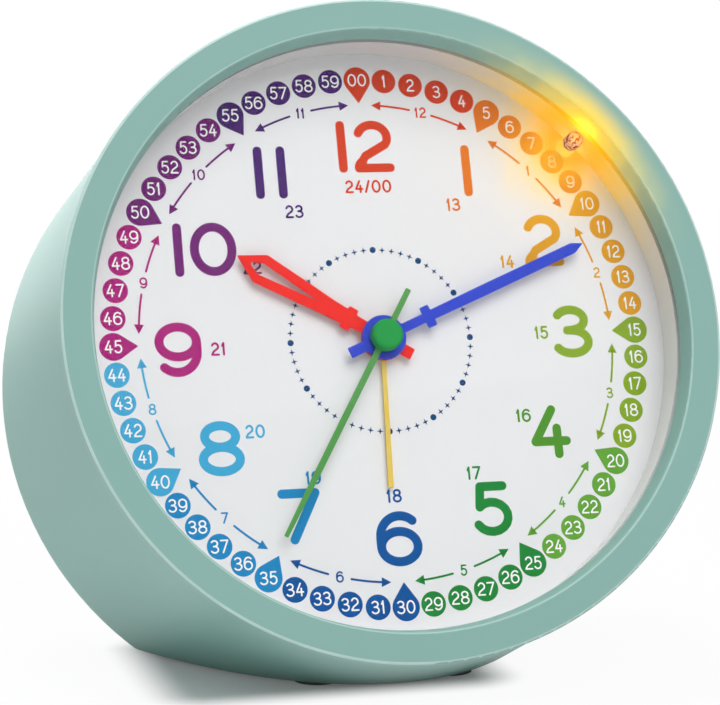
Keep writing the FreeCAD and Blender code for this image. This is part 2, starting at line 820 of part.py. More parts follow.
screws("cover_screws", boss_places, rear_z + s.screw_head_height, s.screw_length, False)

# Circuit board, sounder and alarm switch on the rear cover

board = clock_body("circuit_board")
slab(board, [box(-s.board_half, s.board_low, s.board_half, s.board_high)]
     + [circle(screw_hole, x, y) for x, y in board_posts], board_front, s.board_thick)
chip = clock_body("control_chip", y=s.part_row_y)
slab(chip, [box(-s.switch_half, -s.chip_short, s.switch_half, s.chip_short)],
     board_front + s.chip_height, s.chip_height)
screws("board_screws", board_posts, board_front + s.screw_head_height, s.board_lift, True)

sounder = clock_body("sounder", s.sounder_x, s.part_row_y)
sounder_height = s.board_lift - s.board_clear
slab(sounder, [circle(s.sounder_radius)], board_back, sounder_height)
cut(sounder, [circle(s.sounder_mouth)], board_back - sounder_height + s.sounder_mouth,
    s.sounder_mouth)

switch = clock_body("alarm_switch_case", s.switch_x + s.slider_travel / 2, s.part_row_y)
switch_height = s.board_lift - s.board_clear
slab(switch, [box(-s.switch_half, -slot_half - s.movement_wall, s.switch_half,
                  slot_half + s.movement_wall)], board_back, switch_height)
slot_reach = s.slider_half + s.slider_travel / 2 + s.slider_gap
stem_top = board_back - switch_height / 2
cut(switch, [box(-slot_reach, -slot_half, slot_reach, slot_half)], stem_top, switch_height / 2)

slider = clock_body("alarm_slider", s.switch_x, s.part_row_y)
slider_face = rear_z - s.seat_gap
slab(slider, [box(-s.slider_half, -s.slider_half, s.slider_half, s.slider_half)],
     stem_top - s.slider_gap, stem_top - s.slider_gap - slider_face)
slab(slider, [box(-s.slider_cap, -s.slider_cap_short, s.slider_cap, s.slider_cap_short)],
     slider_face, s.door_thick)
fillet(slider, s.slider_edge, level(2, slider_face - s.door_thick))

# Top button with its switch

button_low = s.button_flange_top
button_top = s.shell_front_radius + s.button_proud + s.movement_wall
button = clock_body("snooze_button")
half_width = s.button_width / 2
slab(button, [box(-s.button_half, button_z - half_width, s.button_half, button_z + half_width)],
     button_top, button_top - button_low, "XZ_Plane")
fillet(button, s.button_edge, level(1, button_top))
slab(button, [box(-s.button_half - s.button_flange, button_z - half_width - s.button_flange,
                  s.button_half + s.button_flange, button_z + half_width + s.button_flange)],
     button_low, s.button_flange, "XZ_Plane")
post_low = s.button_board_y + s.tact_height + s.button_travel + s.wheel_gap
slab(button, [circle(s.button_post, 0, button_z)], button_low - s.button_flange,
     button_low - s.button_flange - post_low, "XZ_Plane")

plunger = clock_body("button_plunger")
plunger_length = s.wheel_gap + s.button_travel * 2
slab(plunger, [circle(s.plunger_radius, 0, button_z)], post_low, plunger_length, "XZ_Plane")

tact = clock_body("button_switch_case")
slab(tact, [box(-s.tact_half, button_z - s.tact_half, s.tact_half, button_z + s.tact_half)],
     s.button_board_y + s.tact_height, s.tact_height, "XZ_Plane")
cut(tact, [circle(s.plunger_radius + s.running_fit, 0, button_z)],
    s.button_board_y + s.tact_height, s.tact_height - s.board_clear, "XZ_Plane")

button_board = clock_body("button_board")
button_board_half = s.button_post_x + s.post_inset
slab(button_board, [box(-button_board_half, button_z - half_width, button_board_half,
                        button_z + half_width)], s.button_board_y, s.board_thick, "XZ_Plane")

# Movement case

half = s.movement_half
inner_half = half - s.movement_wall
front_case = clock_body("movement_front_case")
slab(front_case, [box(-half, -half, half, half)], chassis_back, s.front_case_depth)
cut(front_case, [box(-inner_half, -inner_half, inner_half, inner_half)], plate_back,
    s.front_case_depth)
slab(front_case, [box(side[0], -s.ear_half, side[1], s.ear_half)
                  for side in ((-s.ear_reach, -half + s.movement_wall / 2),
                               (half - s.movement_wall / 2, s.ear_reach))],
     chassis_back, s.movement_wall)
slab(front_case, [circle(s.ferrule)], dial_front, s.dial_thickness + s.chassis_thickness + s.wheel_gap)
cut(front_case, [circle(s.alarm_tube + s.running_fit)], dial_front + over, s.dial_depth)
cut(front_case, [circle(screw_hole, x, y) for x, y in ear_places], chassis_back, s.movement_wall)
screws("movement_screws", ear_places, plate_back, s.chassis_thickness, False)

third_distance = s.fine_module * (s.second_pinion_teeth + s.third_wheel_teeth) / 2
step_distance = s.second_module * (s.step_pinion_teeth + s.second_wheel_teeth) / 2
rotor_distance = s.fine_module * (s.rotor_pinion_teeth + s.step_wheel_teeth) / 2
motion_distance = s.motion_module * (s.cannon_pinion_teeth + s.motion_wheel_teeth) / 2
third_x, third_y = third_distance * cosine(s.third_direction), third_distance * sine(s.third_direction)
step_x, step_y = step_distance * cosine(s.step_direction), step_distance * sine(s.step_direction)
rotor_x = step_x + rotor_distance * cosine(s.rotor_direction)
rotor_y = step_y + rotor_distance * sine(s.rotor_direction)
motion_x = motion_distance * cosine(s.motion_direction)
motion_y = motion_distance * sine(s.motion_direction)
pivot_hole = s.pivot + s.pivot_fit
pivot_places = [(third_x, third_y), (step_x, step_y), (rotor_x, rotor_y)]

rear_case = clock_body("movement_rear_case")
slab(rear_case, [box(-half, -half, half, half)], case_split, case_split - movement_back)
cut(rear_case, [box(-inner_half, -inner_half, inner_half, inner_half)], case_split,
    case_split - movement_inner_back)
cut(rear_case, [circle(shaft_hole, time_x, time_y), circle(shaft_hole, alarm_x, alarm_y)],
    movement_inner_back, s.movement_wall)
cut(rear_case, [circle(pivot_hole, x, y) for x, y in pivot_places]
    + [circle(s.second_shaft + s.pivot_fit)], movement_inner_back, s.pivot_depth + s.seat_gap)

mid = clock_body("movement_mid_plate")
mid_half = inner_half - s.seat_gap
slab(mid, [box(-mid_half, -mid_half, mid_half, mid_half), circle(s.minute_tube + s.running_fit),
           circle(shaft_hole, time_x, time_y), circle(shaft_hole, alarm_x, alarm_y)]
     + [circle(pivot_hole, x, y) for x, y in pivot_places], mid_front, s.mid_plate)
stud_top = hour_level + s.wheel_gap / 2
slab(mid, [circle(s.stud, motion_x, motion_y)], stud_top, stud_top - mid_front)

# Wheels. A tooth is as wide as these shares of the module at its foot, pitch circle and tip.

TOOTH_FOOT, TOOTH_PITCH, TOOTH_TIP = 1.5, 1.1, 0.5
TOOTH_OUT, TOOTH_IN = 0.8, 1.1


def toothed(body, teeth, module, top, thick, toward, gap_toward=False, bore=None):
    """A toothed wheel with a tooth, or a gap, in the direction of the wheel that it meets."""
    pitch = module * teeth / 2
    foot = pitch - TOOTH_IN * module
    tip = pitch + TOOTH_OUT * module
    turn = as_size(toward)
    if gap_toward:
        turn = turn + 180 / teeth
    slab(body, [circle(foot)] + ([circle(bore)] if bore else []), top, thick)
    tooth = slab(body, [outline([
        (foot - s.tooth_extra, -TOOTH_FOOT / 2 * module), (foot, -TOOTH_FOOT / 2 * module),
        (pitch, -TOOTH_PITCH / 2 * module), (tip, -TOOTH_TIP / 2 * module),
        (tip, TOOTH_TIP / 2 * module), (pitch, TOOTH_PITCH / 2 * module),
        (foot, TOOTH_FOOT / 2 * module), (foot - s.tooth_extra, TOOTH_FOOT / 2 * module)])],
        top, thick, turn=turn)
    repeat_round(body, tooth, teeth)


def arbor(body, front_pivot, front, back, back_pivot):
    """A turned shaft with a thinner pivot at each end."""
    turned(body, [(0, front_pivot), (s.pivot, front_pivot), (s.pivot, front), (s.arbor, front),
                  (s.arbor, back), (s.pivot, back), (s.pivot, back_pivot), (0, back_pivot)])


shoulder_front = mid_back - s.seat_gap
shoulder_back = movement_inner_back + s.seat_gap
rear_pivot = movement_inner_back - s.pivot_depth
wheel_face = s.wheel_thick

third = clock_body("third_wheel", third_x, third_y)
arbor(third, mid_back + s.pivot_depth, shoulder_front, shoulder_back, rear_pivot)
toothed(third, s.third_wheel_teeth, s.fine_module, third_level, wheel_face,
        s.third_direction - 180, gap_toward=True)
toothed(third, s.third_pinion_teeth, s.fine_module, centre_level, wheel_pitch,
        s.third_direction - 180)

step = clock_body("step_wheel", step_x, step_y)
arbor(step, mid_back + s.pivot_depth, shoulder_front, shoulder_back, rear_pivot)
toothed(step, s.step_wheel_teeth, s.fine_module, step_level, wheel_face, s.rotor_direction,
        gap_toward=True)
toothed(step, s.step_pinion_teeth, s.second_module, second_level, wheel_pitch,
        s.step_direction - 180)

rotor = clock_body("rotor_shaft", rotor_x, rotor_y)
arbor(rotor, mid_back + s.pivot_depth, shoulder_front, shoulder_back, rear_pivot)
toothed(rotor, s.rotor_pinion_teeth, s.fine_module, step_level, wheel_face,
        s.rotor_direction - 180)
magnet = clock_body("rotor_magnet", rotor_x, rotor_y)
slab(magnet, [circle(s.magnet_radius), circle(s.arbor + s.press_gap)], magnet_level, s.magnet_height)

second_top = dial_front + 4 * s.hand_step + s.hand_thick
second = clock_body("seconds_wheel")
slab(second, [circle(s.second_shaft)], second_top, second_top - rear_pivot)
toothed(second, s.second_pinion_teeth, s.fine_module, third_level + s.wheel_gap / 2,
        wheel_pitch, s.third_direction)
toothed(second, s.second_wheel_teeth, s.second_module, second_level, wheel_face,
        s.step_direction, gap_toward=True)

centre = clock_body("centre_wheel")
toothed(centre, s.centre_wheel_teeth, s.fine_module, centre_level, wheel_face,
        s.third_direction, gap_toward=True, bore=s.minute_tube + s.running_fit)


def tube(body, top, bottom, outside, inside):
    slab(body, [circle(outside), circle(inside)], top, top - bottom)


minute_top = dial_front + 3 * s.hand_step + s.hand_thick
cannon = clock_body("cannon_pinion")
cannon_bore = s.second_shaft + s.running_fit
tube(cannon, minute_top, centre_level - s.wheel_thick, s.minute_tube, cannon_bore)
toothed(cannon, s.cannon_pinion_teeth, s.motion_module, motion_level, wheel_face,
        s.motion_direction, bore=cannon_bore)

motion = clock_body("motion_wheel", motion_x, motion_y)
motion_bore = s.stud + s.running_fit
toothed(motion, s.motion_wheel_teeth, s.motion_module, motion_level, wheel_face,
        s.motion_direction - 180, gap_toward=True, bore=motion_bore)
toothed(motion, s.motion_pinion_teeth, s.motion_module, hour_level, wheel_pitch,
        s.motion_direction - 180, bore=motion_bore)

hour_top = dial_front + 2 * s.hand_step + s.hand_thick
hour = clock_body("hour_wheel")
hour_bore = s.minute_tube + s.running_fit
tube(hour, hour_top, hour_level - s.wheel_thick, s.hour_tube, hour_bore)
toothed(hour, s.hour_wheel_teeth, s.motion_module, hour_level, wheel_face,
        s.motion_direction, gap_toward=True, bore=hour_bore)

alarm_top = dial_front + s.hand_step + s.hand_thick
alarm = clock_body("alarm_wheel")
alarm_bore = s.hour_tube + s.running_fit
tube(alarm, alarm_top, alarm_level - s.wheel_thick, s.alarm_tube, alarm_bore)
toothed(alarm, s.alarm_wheel_teeth, s.motion_module, alarm_level, wheel_face,
        s.alarm_direction, bore=alarm_bore)

# The time gear meets the motion wheel, which has its gap towards the cannon pinion: the phase
# is counted round the motion wheel from that gap to the time gear's direction.
knob_face = rear_z - s.knob_gap
shaft_end = knob_face - s.knob_height / 2
turn_on_wheel = s.time_direction - (s.motion_direction - 180)
shares = turn_on_wheel * s.motion_wheel_teeth / 360
time_gear = clock_body("time_setting_gear", time_x, time_y)
slab(time_gear, [circle(s.setting_shaft)], motion_level + s.wheel_gap / 2,
     motion_level + s.wheel_gap / 2 - shaft_end)
toothed(time_gear, s.time_gear_teeth, s.motion_module, motion_level, wheel_face,
        s.time_direction - 180 + shares * 360 / s.time_gear_teeth)
alarm_gear = clock_body("alarm_setting_gear", alarm_x, alarm_y)
slab(alarm_gear, [circle(s.setting_shaft)], alarm_level + s.wheel_gap / 2,
     alarm_level + s.wheel_gap / 2 - shaft_end)
toothed(alarm_gear, s.alarm_gear_teeth, s.motion_module, alarm_level, wheel_face,
        s.alarm_direction - 180, gap_toward=True)

for label, x, y in (("time_knob", time_x, time_y), ("alarm_knob", alarm_x, alarm_y)):
    knob = clock_body(label, x, y)
    slab(knob, [circle(s.knob_radius)], knob_face, s.knob_height)
    fillet(knob, s.knob_edge, ring_edge(s.knob_radius, knob_face - s.knob_height))
    cut(knob, [circle(s.setting_shaft + s.press_gap)], knob_face, s.knob_height / 2)
    groove = cut(knob, [circle(s.knob_groove, s.knob_radius)], knob_face, s.knob_height)
    repeat_round(knob, groove, s.knob_grooves)

# Motor parts and the movement's own board

stator = clock_body("stator")
stator_top = magnet_level - (s.magnet_height - s.stator_thick) / 2
stator_half = s.magnet_radius + s.stator_gap + s.stator_rim
stator_left = -s.coil_length / 2 - s.stator_end
bar_half = s.coil_radius / 2
slab(stator, [outline([
    (rotor_x - stator_half, rotor_y + stator_half), (rotor_x - stator_half, s.coil_y + bar_half),
    (stator_left, s.coil_y + bar_half), (stator_left, s.coil_y - bar_half),
    (rotor_x + stator_half, s.coil_y - bar_half), (rotor_x + stator_half, rotor_y + stator_half)]),
    circle(s.magnet_radius + s.stator_gap, rotor_x, rotor_y)], stator_top, s.stator_thick)
coil = clock_body("motor_coil")
coil_top = s.coil_length / 2
coil_z = stator_top - s.stator_thick / 2
room = s.press_gap
slab(coil, [circle(s.coil_radius, s.coil_y, coil_z),
            box(s.coil_y - bar_half - room, coil_z - s.stator_thick / 2 - room,
                s.coil_y + bar_half + room, coil_z + s.stator_thick / 2 + room)],
     coil_top, s.coil_length, "YZ_Plane")

movement_board = clock_body("movement_board")
board_z = movement_inner_back + s.board_thick + s.wheel_gap
slab(movement_board, [box(-s.inner_board_half, s.inner_board_low, s.inner_board_half,
                          s.inner_board_high)], board_z, s.board_thick)
crystal = clock_body("quartz_crystal")
slab(crystal, [circle(s.crystal_radius, s.crystal_x, board_z + s.crystal_radius + s.press_gap)],
     s.crystal_x, s.crystal_length, "YZ_Plane")
movement_chip = clock_body("movement_chip")
slab(movement_chip, [box(-s.inner_chip, s.inner_chip_low, 0, s.inner_chip_low + s.inner_chip)],
     board_z + s.chip_height, s.chip_height)
leaf = clock_body("alarm_contact_leaf")
leaf_left = -s.inner_board_half
slab(leaf, [box(leaf_left, s.leaf_low, leaf_left + s.leaf_length, s.leaf_low + s.leaf_width)],
     mid_front + s.contact_thick, s.contact_thick)

# Hands: each is drawn pointing at twelve and turned clockwise to the time shown

def hand(label, angle, height_steps, halves, hub, bore, slot=None):
    body = clock_body(label)
    top = dial_front + height_steps * s.hand_step + s.hand_thick
    slab(body, [mirrored(halves)], top, s.hand_thick, turn=-angle)
    slab(body, [circle(hub)], top, s.hand_thick)
    if slot:
        cut(body, [mirrored(slot)], top, s.hand_thick, turn=-angle)
    cut(body, [circle(bore + s.press_gap)], top, s.hand_thick)
    return body


hand("alarm_hand", s.alarm_angle, 1,
     [(0.38, 0), (0.45, s.alarm_length)], s.alarm_hub, s.alarm_tube)
hand("hour_hand", s.hour_angle, 2, [
    (1.0, -5.8), (1.0, 0), (1.2, 5.9), (2.05, 6.0), (2.05, 7.7), (1.45, 7.8), (1.6, 11), (2.05, 16),
    (2.72, s.hour_length - 4.4), (0.05, s.hour_length)], s.hand_hub, s.hour_tube,
    slot=[(0.1, 13.6), (1.15, s.hour_length - 4.6), (0.3, s.hour_length - 2.6)])
minute = hand("minute_hand", s.minute_angle, 3, [
    (0.95, -6.8), (0.8, 8.1), (1.93, 8.2), (1.93, 9.7), (0.9, 9.8), (0.98, 20),
    (0.95, s.minute_length - 1.9), (0.1, s.minute_length)], s.hand_hub, s.minute_tube)
cut(minute, [circle(s.hub_recess)], minute_top, s.recess_depth)
hand("second_hand", s.second_angle, 4,
     [(0.48, -s.second_tail), (0.55, 0), (0.55, 26), (0.36, s.second_length)], s.second_hub,
     s.second_shaft)
cap = clock_body("second_hand_cap")
cap_top = second_top + s.cap_height + s.press_gap
slab(cap, [circle(s.cap_radius)], cap_top, s.cap_height)
fillet(cap, s.cap_edge, ring_edge(s.cap_radius, cap_top))

# Check every object, then write each sub-part

doc.recompute()
for item in doc.Objects:
    if "Invalid" in item.State or "Error" in item.State:
        raise RuntimeError(f"{item.Label} failed: {item.State}")
    if item.TypeId == "PartDesign::Pocket" and item.Shape.Volume >= item.BaseFeature.Shape.Volume - 1e-6:
        raise RuntimeError(f"{item.Label} cuts nothing")

os.makedirs("parts", exist_ok=True)
for item in subparts:
    shape = item.Shape
    if shape.isNull() or not shape.isValid() or not shape.Solids:
        raise RuntimeError(f"{item.Label} has no sound solid")
    shape.exportStep(f"parts/{item.Label}.step")
    print(f"{item.Label}: {len(shape.Solids)} solids, {shape.Volume:.1f} mm3")
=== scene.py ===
# %% [markdown]
# # A kids' alarm clock with a night light
# The clock is a mint drum that leans back on a flat cut of its own side. Behind a clear lens, a deep
# ring bezel and a glossy white wall surround a dial that teaches children to read the time.
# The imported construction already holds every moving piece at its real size. This lesson gives those
# pieces their finishes, prints the dial and switches the night light on.

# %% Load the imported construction
import json
import math

import bpy
from mathutils import Matrix, Vector
from mathutils.geometry import delaunay_2d_cdt


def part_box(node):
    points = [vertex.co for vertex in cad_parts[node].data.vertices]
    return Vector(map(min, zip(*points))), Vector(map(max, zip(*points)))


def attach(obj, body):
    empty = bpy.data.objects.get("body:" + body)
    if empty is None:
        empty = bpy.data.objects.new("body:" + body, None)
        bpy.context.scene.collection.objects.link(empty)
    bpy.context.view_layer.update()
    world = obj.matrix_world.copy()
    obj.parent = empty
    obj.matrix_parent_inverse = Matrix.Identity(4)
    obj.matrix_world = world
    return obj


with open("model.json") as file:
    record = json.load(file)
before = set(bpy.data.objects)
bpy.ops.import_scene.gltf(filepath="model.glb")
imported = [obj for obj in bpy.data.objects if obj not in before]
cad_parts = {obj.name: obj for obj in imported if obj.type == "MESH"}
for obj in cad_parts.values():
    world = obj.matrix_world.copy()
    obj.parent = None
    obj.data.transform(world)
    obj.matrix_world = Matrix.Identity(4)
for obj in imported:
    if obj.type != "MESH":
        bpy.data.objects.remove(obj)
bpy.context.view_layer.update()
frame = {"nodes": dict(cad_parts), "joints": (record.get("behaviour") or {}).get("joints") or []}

nodes = frame["nodes"]

# %% [markdown]
# The dial leans back, so a place on it is awkward in world axes. The second hand's joint gives the
# spindle, and the dial plate gives the height of the print. From those two comes a helper that
# takes millimetres as a clockmaker would: right to three o'clock, up to twelve, and out of the dial.

# %% The clock's own axes
MM = 0.001


def joint(name):
    return next(j for j in frame["joints"] if j["name"] == name)


def reach(node, direction):
    """How far a piece reaches along a direction, in metres."""
    return max(vertex.co.dot(direction) for vertex in nodes[node].data.vertices)


spindle = Vector(joint("seconds_turn")["pos_m"])
OUT = -Vector(joint("seconds_turn")["axis"]).normalized()
RIGHT = Vector((1, 0, 0))
UP = OUT.cross(RIGHT)


def raised(point, node):
    """A point moved along the spindle to the height of a piece's top."""
    return point + OUT * (reach(node, OUT) - point.dot(OUT))


dial_centre = raised(spindle, "dial_plate")


def at(x, y, height=0.0):
    """A point of the row frame from millimetres on the dial and above it."""
    return dial_centre + (RIGHT * x + UP * y + OUT * height) * MM


def on_clock(angle, radius):
    """Dial millimetres from a clock angle in degrees and a radius."""
    turn = math.radians(angle)
    return radius * math.sin(turn), radius * math.cos(turn)


bezel_face = (reach("front_bezel", OUT) - dial_centre.dot(OUT)) / MM
print("dial centre", [round(c, 4) for c in dial_centre], "bezel face", round(bezel_face, 2), "mm above it")

# %% [markdown]
# The photograph was taken from the left and slightly above, with a long lens, so the near edge of
# the bezel is only a little larger than the far one. A fit to the bezel, the dial and the minute
# marks gave the place and the direction, and the lens follows from the same fit.

# %% Camera
CAMERA_PLACE = (-0.12190, -0.445707, 0.11205)
CAMERA_BACK = Vector((-0.26388, -0.95663, 0.12338))
CAMERA_ROLL = math.radians(0.033)
CAMERA_LENS = 129.74

camera = bpy.data.objects.new("camera", bpy.data.cameras.new("camera"))
bpy.context.scene.collection.objects.link(camera)
camera.data.lens = CAMERA_LENS
camera.data.clip_start = 0.01
back = CAMERA_BACK.normalized()
side = Vector((0, 0, 1)).cross(back).normalized()
facing = Matrix((side, back.cross(side), back)).transposed()
camera.matrix_world = (Matrix.Translation(CAMERA_PLACE)
                       @ (facing @ Matrix.Rotation(-CAMERA_ROLL, 3, "Z")).to_4x4())
bpy.context.scene.camera = camera
print("camera", round((Vector(CAMERA_PLACE) - dial_centre).length, 3), "m from the dial")

# %% [markdown]
# The light is a plain studio of three soft panels in an even pale room. The hands' shadows in the
# photograph fall straight down, so the main panel stands high in front. The top of the drum is
# brightest on its left, so a second panel stands high above and behind it, and a third stands low
# behind the clock for its back. White surfaces stay just under white, so that colours keep their
# depth. Each panel has a place, a side length in metres and a power in watts.

# %% Soft studio light
PANEL_AIM = Vector((0.0, -0.01, 0.06))
PANELS = (("key_panel", (0.10, -0.62, 0.80), 0.75, 4.15),
          ("left_panel", (-0.14, 0.28, 0.88), 0.45, 4.4),
          ("back_panel", (-0.20, 0.95, 0.30), 0.6, 2.4))


def panel(name, place, length, power):
    """A square area lamp that faces the clock."""
    lamp = bpy.data.lights.new(name, "AREA")
    lamp.size = length
    lamp.energy = power
    lamp_object = bpy.data.objects.new(name, lamp)
    bpy.context.scene.collection.objects.link(lamp_object)
    lamp_object.location = place
    lamp_object.rotation_euler = (PANEL_AIM - Vector(place)).to_track_quat("-Z", "Y").to_euler()


for values in PANELS:
    panel(*values)
print(len(PANELS), "soft panels")

# %% [markdown]
# The room and every finish are trees of small nodes. One helper feeds a socket, either from another
# socket or with a plain value, and a second one adds a Math node.

# %% Helpers for nodes
def feed(tree, socket, value):
    """Feeds a socket from another socket or with a plain value. None leaves it as it is."""
    if hasattr(value, "is_output"):
        tree.links.new(value, socket)
    elif value is not None:
        socket.default_value = value


def math_node(tree, operation, first, second):
    """A Math node of two sockets or numbers."""
    made = tree.nodes.new("ShaderNodeMath")
    made.operation = operation
    feed(tree, made.inputs[0], first)
    feed(tree, made.inputs[1], second)
    return made.outputs[0]


print("two node helpers ready")

# %% [markdown]
# The room is a pale world. Camera and glass rays see plain white, mirror rays see a dimmer white,
# and everything else is lit by a softer grey, so the background is white without any extra light
# on the clock. A ray that has already left a matt surface always finds the grey, also when it
# passes the lens on its way.

# %% Room
ROOM_LIGHT = 0.28
ROOM_MIRRORED = 0.34
FRESH_BELOW = 0.5

world = bpy.data.worlds.new("studio")
bpy.context.scene.world = world
world.use_nodes = True
room = world.node_tree
room.nodes.clear()
room_rays = room.nodes.new("ShaderNodeLightPath")
straight = math_node(room, "MAXIMUM", room_rays.outputs["Is Camera Ray"],
                     room_rays.outputs["Is Transmission Ray"])
mirrored = math_node(room, "MULTIPLY", room_rays.outputs["Is Glossy Ray"], ROOM_MIRRORED)
fresh = math_node(room, "LESS_THAN", room_rays.outputs["Diffuse Depth"], FRESH_BELOW)
whiter = math_node(room, "MULTIPLY", fresh, math_node(room, "MAXIMUM", straight, mirrored))
sky = room.nodes.new("ShaderNodeBackground")
sky.inputs["Color"].default_value = (1, 1, 1, 1)
feed(room, sky.inputs["Strength"], math_node(room, "MAXIMUM", whiter, ROOM_LIGHT))
room_output = room.nodes.new("ShaderNodeOutputWorld")
feed(room, room_output.inputs["Surface"], sky.outputs[0])
print("room light", ROOM_LIGHT)

# %% [markdown]
# The table and the finishes need some more helpers: vector sums, a ramp between two values, a mix of
# two colours, a mix of two shaders, and the point that is being shaded.

# %% More helpers for nodes
GIVE_NUMBERS = ("LENGTH", "DISTANCE", "DOT_PRODUCT")


def vector_node(tree, operation, first, second=None):
    """A Vector Math node of sockets or vectors. A length, distance or dot product is a number."""
    made = tree.nodes.new("ShaderNodeVectorMath")
    made.operation = operation
    feed(tree, made.inputs[0], first)
    feed(tree, made.inputs[1], second)
    return made.outputs["Value" if operation in GIVE_NUMBERS else "Vector"]


def ramp(tree, value, low, high, bottom=0.0, top=1.0, kind="LINEAR"):
    """Goes from bottom at low to top at high, and stays level beyond them."""
    made = tree.nodes.new("ShaderNodeMapRange")
    made.interpolation_type = kind
    for name, given in (("Value", value), ("From Min", low), ("From Max", high),
                        ("To Min", bottom), ("To Max", top)):
        feed(tree, made.inputs[name], given)
    return made.outputs["Result"]


def mix_colours(tree, share, first, second, mode="MIX"):
    """A colour Mix node of sockets or colours."""
    made = tree.nodes.new("ShaderNodeMix")
    made.data_type = "RGBA"
    made.blend_type = mode
    feed(tree, made.inputs["Factor"], share)
    feed(tree, made.inputs[6], first)
    feed(tree, made.inputs[7], second)
    return made.outputs[2]


def mix_shaders(tree, share, first, second):
    """Gives the surface the first shader, and the second one by its share."""
    made = tree.nodes.new("ShaderNodeMixShader")
    feed(tree, made.inputs["Fac"], share)
    feed(tree, made.inputs[1], first.outputs[0])
    feed(tree, made.inputs[2], second.outputs[0])
    feed(tree, tree.nodes["Material Output"].inputs["Surface"], made.outputs[0])


def own_point(tree):
    """The point that is being shaded, in metres of the piece's own coordinates."""
    return tree.nodes.new("ShaderNodeTexCoord").outputs["Object"]


def new_material(name):
    """A new material with its tree and its Principled shader."""
    made = bpy.data.materials.new(name)
    made.use_nodes = True
    return made, made.node_tree, made.node_tree.nodes["Principled BSDF"]


print("six more node helpers ready")

# %% [markdown]
# The clock stands on a white table. Right at the foot the table is nearly a plain matt surface, which
# takes the contact shadow. A centimetre further out almost all of it is a white glow, as in the
# photograph, and the faint shadow that is left fades before any edge or horizon could show. The
# matt part ends a little before the foot's right end, where the photograph has no shadow. Bounced
# light sees a slightly darker table, so that the drum's underside isn't lit too much.

# %% Floor
FLOOR_HALF = 3.0
FLOOR_SEEN = (0.88, 0.88, 0.88, 1)
FLOOR_BOUNCE = (0.80, 0.80, 0.80, 1)
FLOOR_ROUGHNESS = 0.9
FLOOR_SPECULAR = 0.1
FOOT_MARGIN = (0.001, 0.012)
FAR_FADE = (0.10, 0.30)
GLOW_SHARES = (0.10, 0.95)
FOOT_SHADE_END = 0.020

foot_low, foot_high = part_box("foot_pads")
foot_high.x -= FOOT_SHADE_END
foot_middle = (foot_low + foot_high) / 2
foot_half = (foot_high - foot_low) / 2

floor_corners = [(x * FLOOR_HALF, y * FLOOR_HALF, 0) for x, y in ((-1, -1), (1, -1), (1, 1), (-1, 1))]
floor_mesh = bpy.data.meshes.new("floor")
floor_mesh.from_pydata(floor_corners, [], [(0, 1, 2, 3)])
floor = bpy.data.objects.new("floor", floor_mesh)
bpy.context.scene.collection.objects.link(floor)

table_top, table, matt = new_material("table_top")
matt.inputs["Roughness"].default_value = FLOOR_ROUGHNESS
matt.inputs["Specular IOR Level"].default_value = FLOOR_SPECULAR
table_rays = table.nodes.new("ShaderNodeLightPath")
seen = table_rays.outputs["Is Camera Ray"]
feed(table, matt.inputs["Base Color"], mix_colours(table, seen, FLOOR_BOUNCE, FLOOR_SEEN))

from_foot = vector_node(table, "SUBTRACT", own_point(table), (foot_middle.x, foot_middle.y, 0))
outside = vector_node(table, "SUBTRACT", vector_node(table, "ABSOLUTE", from_foot),
                      (foot_half.x, foot_half.y, 0))
clearance = vector_node(table, "LENGTH", vector_node(table, "MAXIMUM", outside, (0, 0, 0)))
whiteness = math_node(table, "MAXIMUM",
                      ramp(table, clearance, *FOOT_MARGIN, *GLOW_SHARES, kind="SMOOTHSTEP"),
                      ramp(table, clearance, *FAR_FADE, kind="SMOOTHSTEP"))
seen_or_mirrored = math_node(table, "MAXIMUM", seen, table_rays.outputs["Is Glossy Ray"])
white = table.nodes.new("ShaderNodeEmission")
white.inputs["Strength"].default_value = 1.0
mix_shaders(table, math_node(table, "MULTIPLY", whiteness, seen_or_mirrored), matt, white)
floor_mesh.materials.append(table_top)
print("floor", FLOOR_HALF * 2, "m square, foot", [round(c * 2, 4) for c in foot_half])

# %% [markdown]
# ## Shared effects
# Moulded plastic is never quite even: the tool's fine texture shows in the gloss, the colour drifts
# a little, and corners polish with handling. Each effect is a node group built once, so that every
# material can use it at its own strength. A group hands out only colours and values.

# %% Helpers for effects
FLOAT, COLOUR = "NodeSocketFloat", "NodeSocketColor"
NOISE_MIDDLE = 0.5


def group(name, inputs, outputs):
    """An empty shader group with the given named sockets."""
    made = bpy.data.node_groups.new(name, "ShaderNodeTree")
    for label, kind, value in inputs:
        socket = made.interface.new_socket(label, in_out="INPUT", socket_type=kind)
        socket.default_value = value
    for label, kind in outputs:
        made.interface.new_socket(label, in_out="OUTPUT", socket_type=kind)
    return made, made.nodes.new("NodeGroupInput"), made.nodes.new("NodeGroupOutput")


def noise(tree, scale, detail=2.0, point=None):
    """Noise over the piece's own point, or another. The scale is in features per metre."""
    made = tree.nodes.new("ShaderNodeTexNoise")
    feed(tree, made.inputs["Vector"], own_point(tree) if point is None else point)
    feed(tree, made.inputs["Scale"], scale)
    feed(tree, made.inputs["Detail"], detail)
    return made.outputs["Fac"]


def swing(tree, value, width):
    """A noise value moved to swing about zero, times a width."""
    return math_node(tree, "MULTIPLY", math_node(tree, "SUBTRACT", value, NOISE_MIDDLE), width)


def patches(tree, scale, detail, share, least):
    """Slow noise times a share, above a least value."""
    return math_node(tree, "ADD", math_node(tree, "MULTIPLY", noise(tree, scale, detail), share), least)


def about(tree, middle):
    """The shaded point's distance from the axis through a middle, and its height along that axis."""
    away = vector_node(tree, "SUBTRACT", own_point(tree), middle)
    radius = vector_node(tree, "LENGTH", vector_node(tree, "CROSS_PRODUCT", away, OUT))
    return radius, vector_node(tree, "DOT_PRODUCT", away, OUT)


print("effect helpers ready")

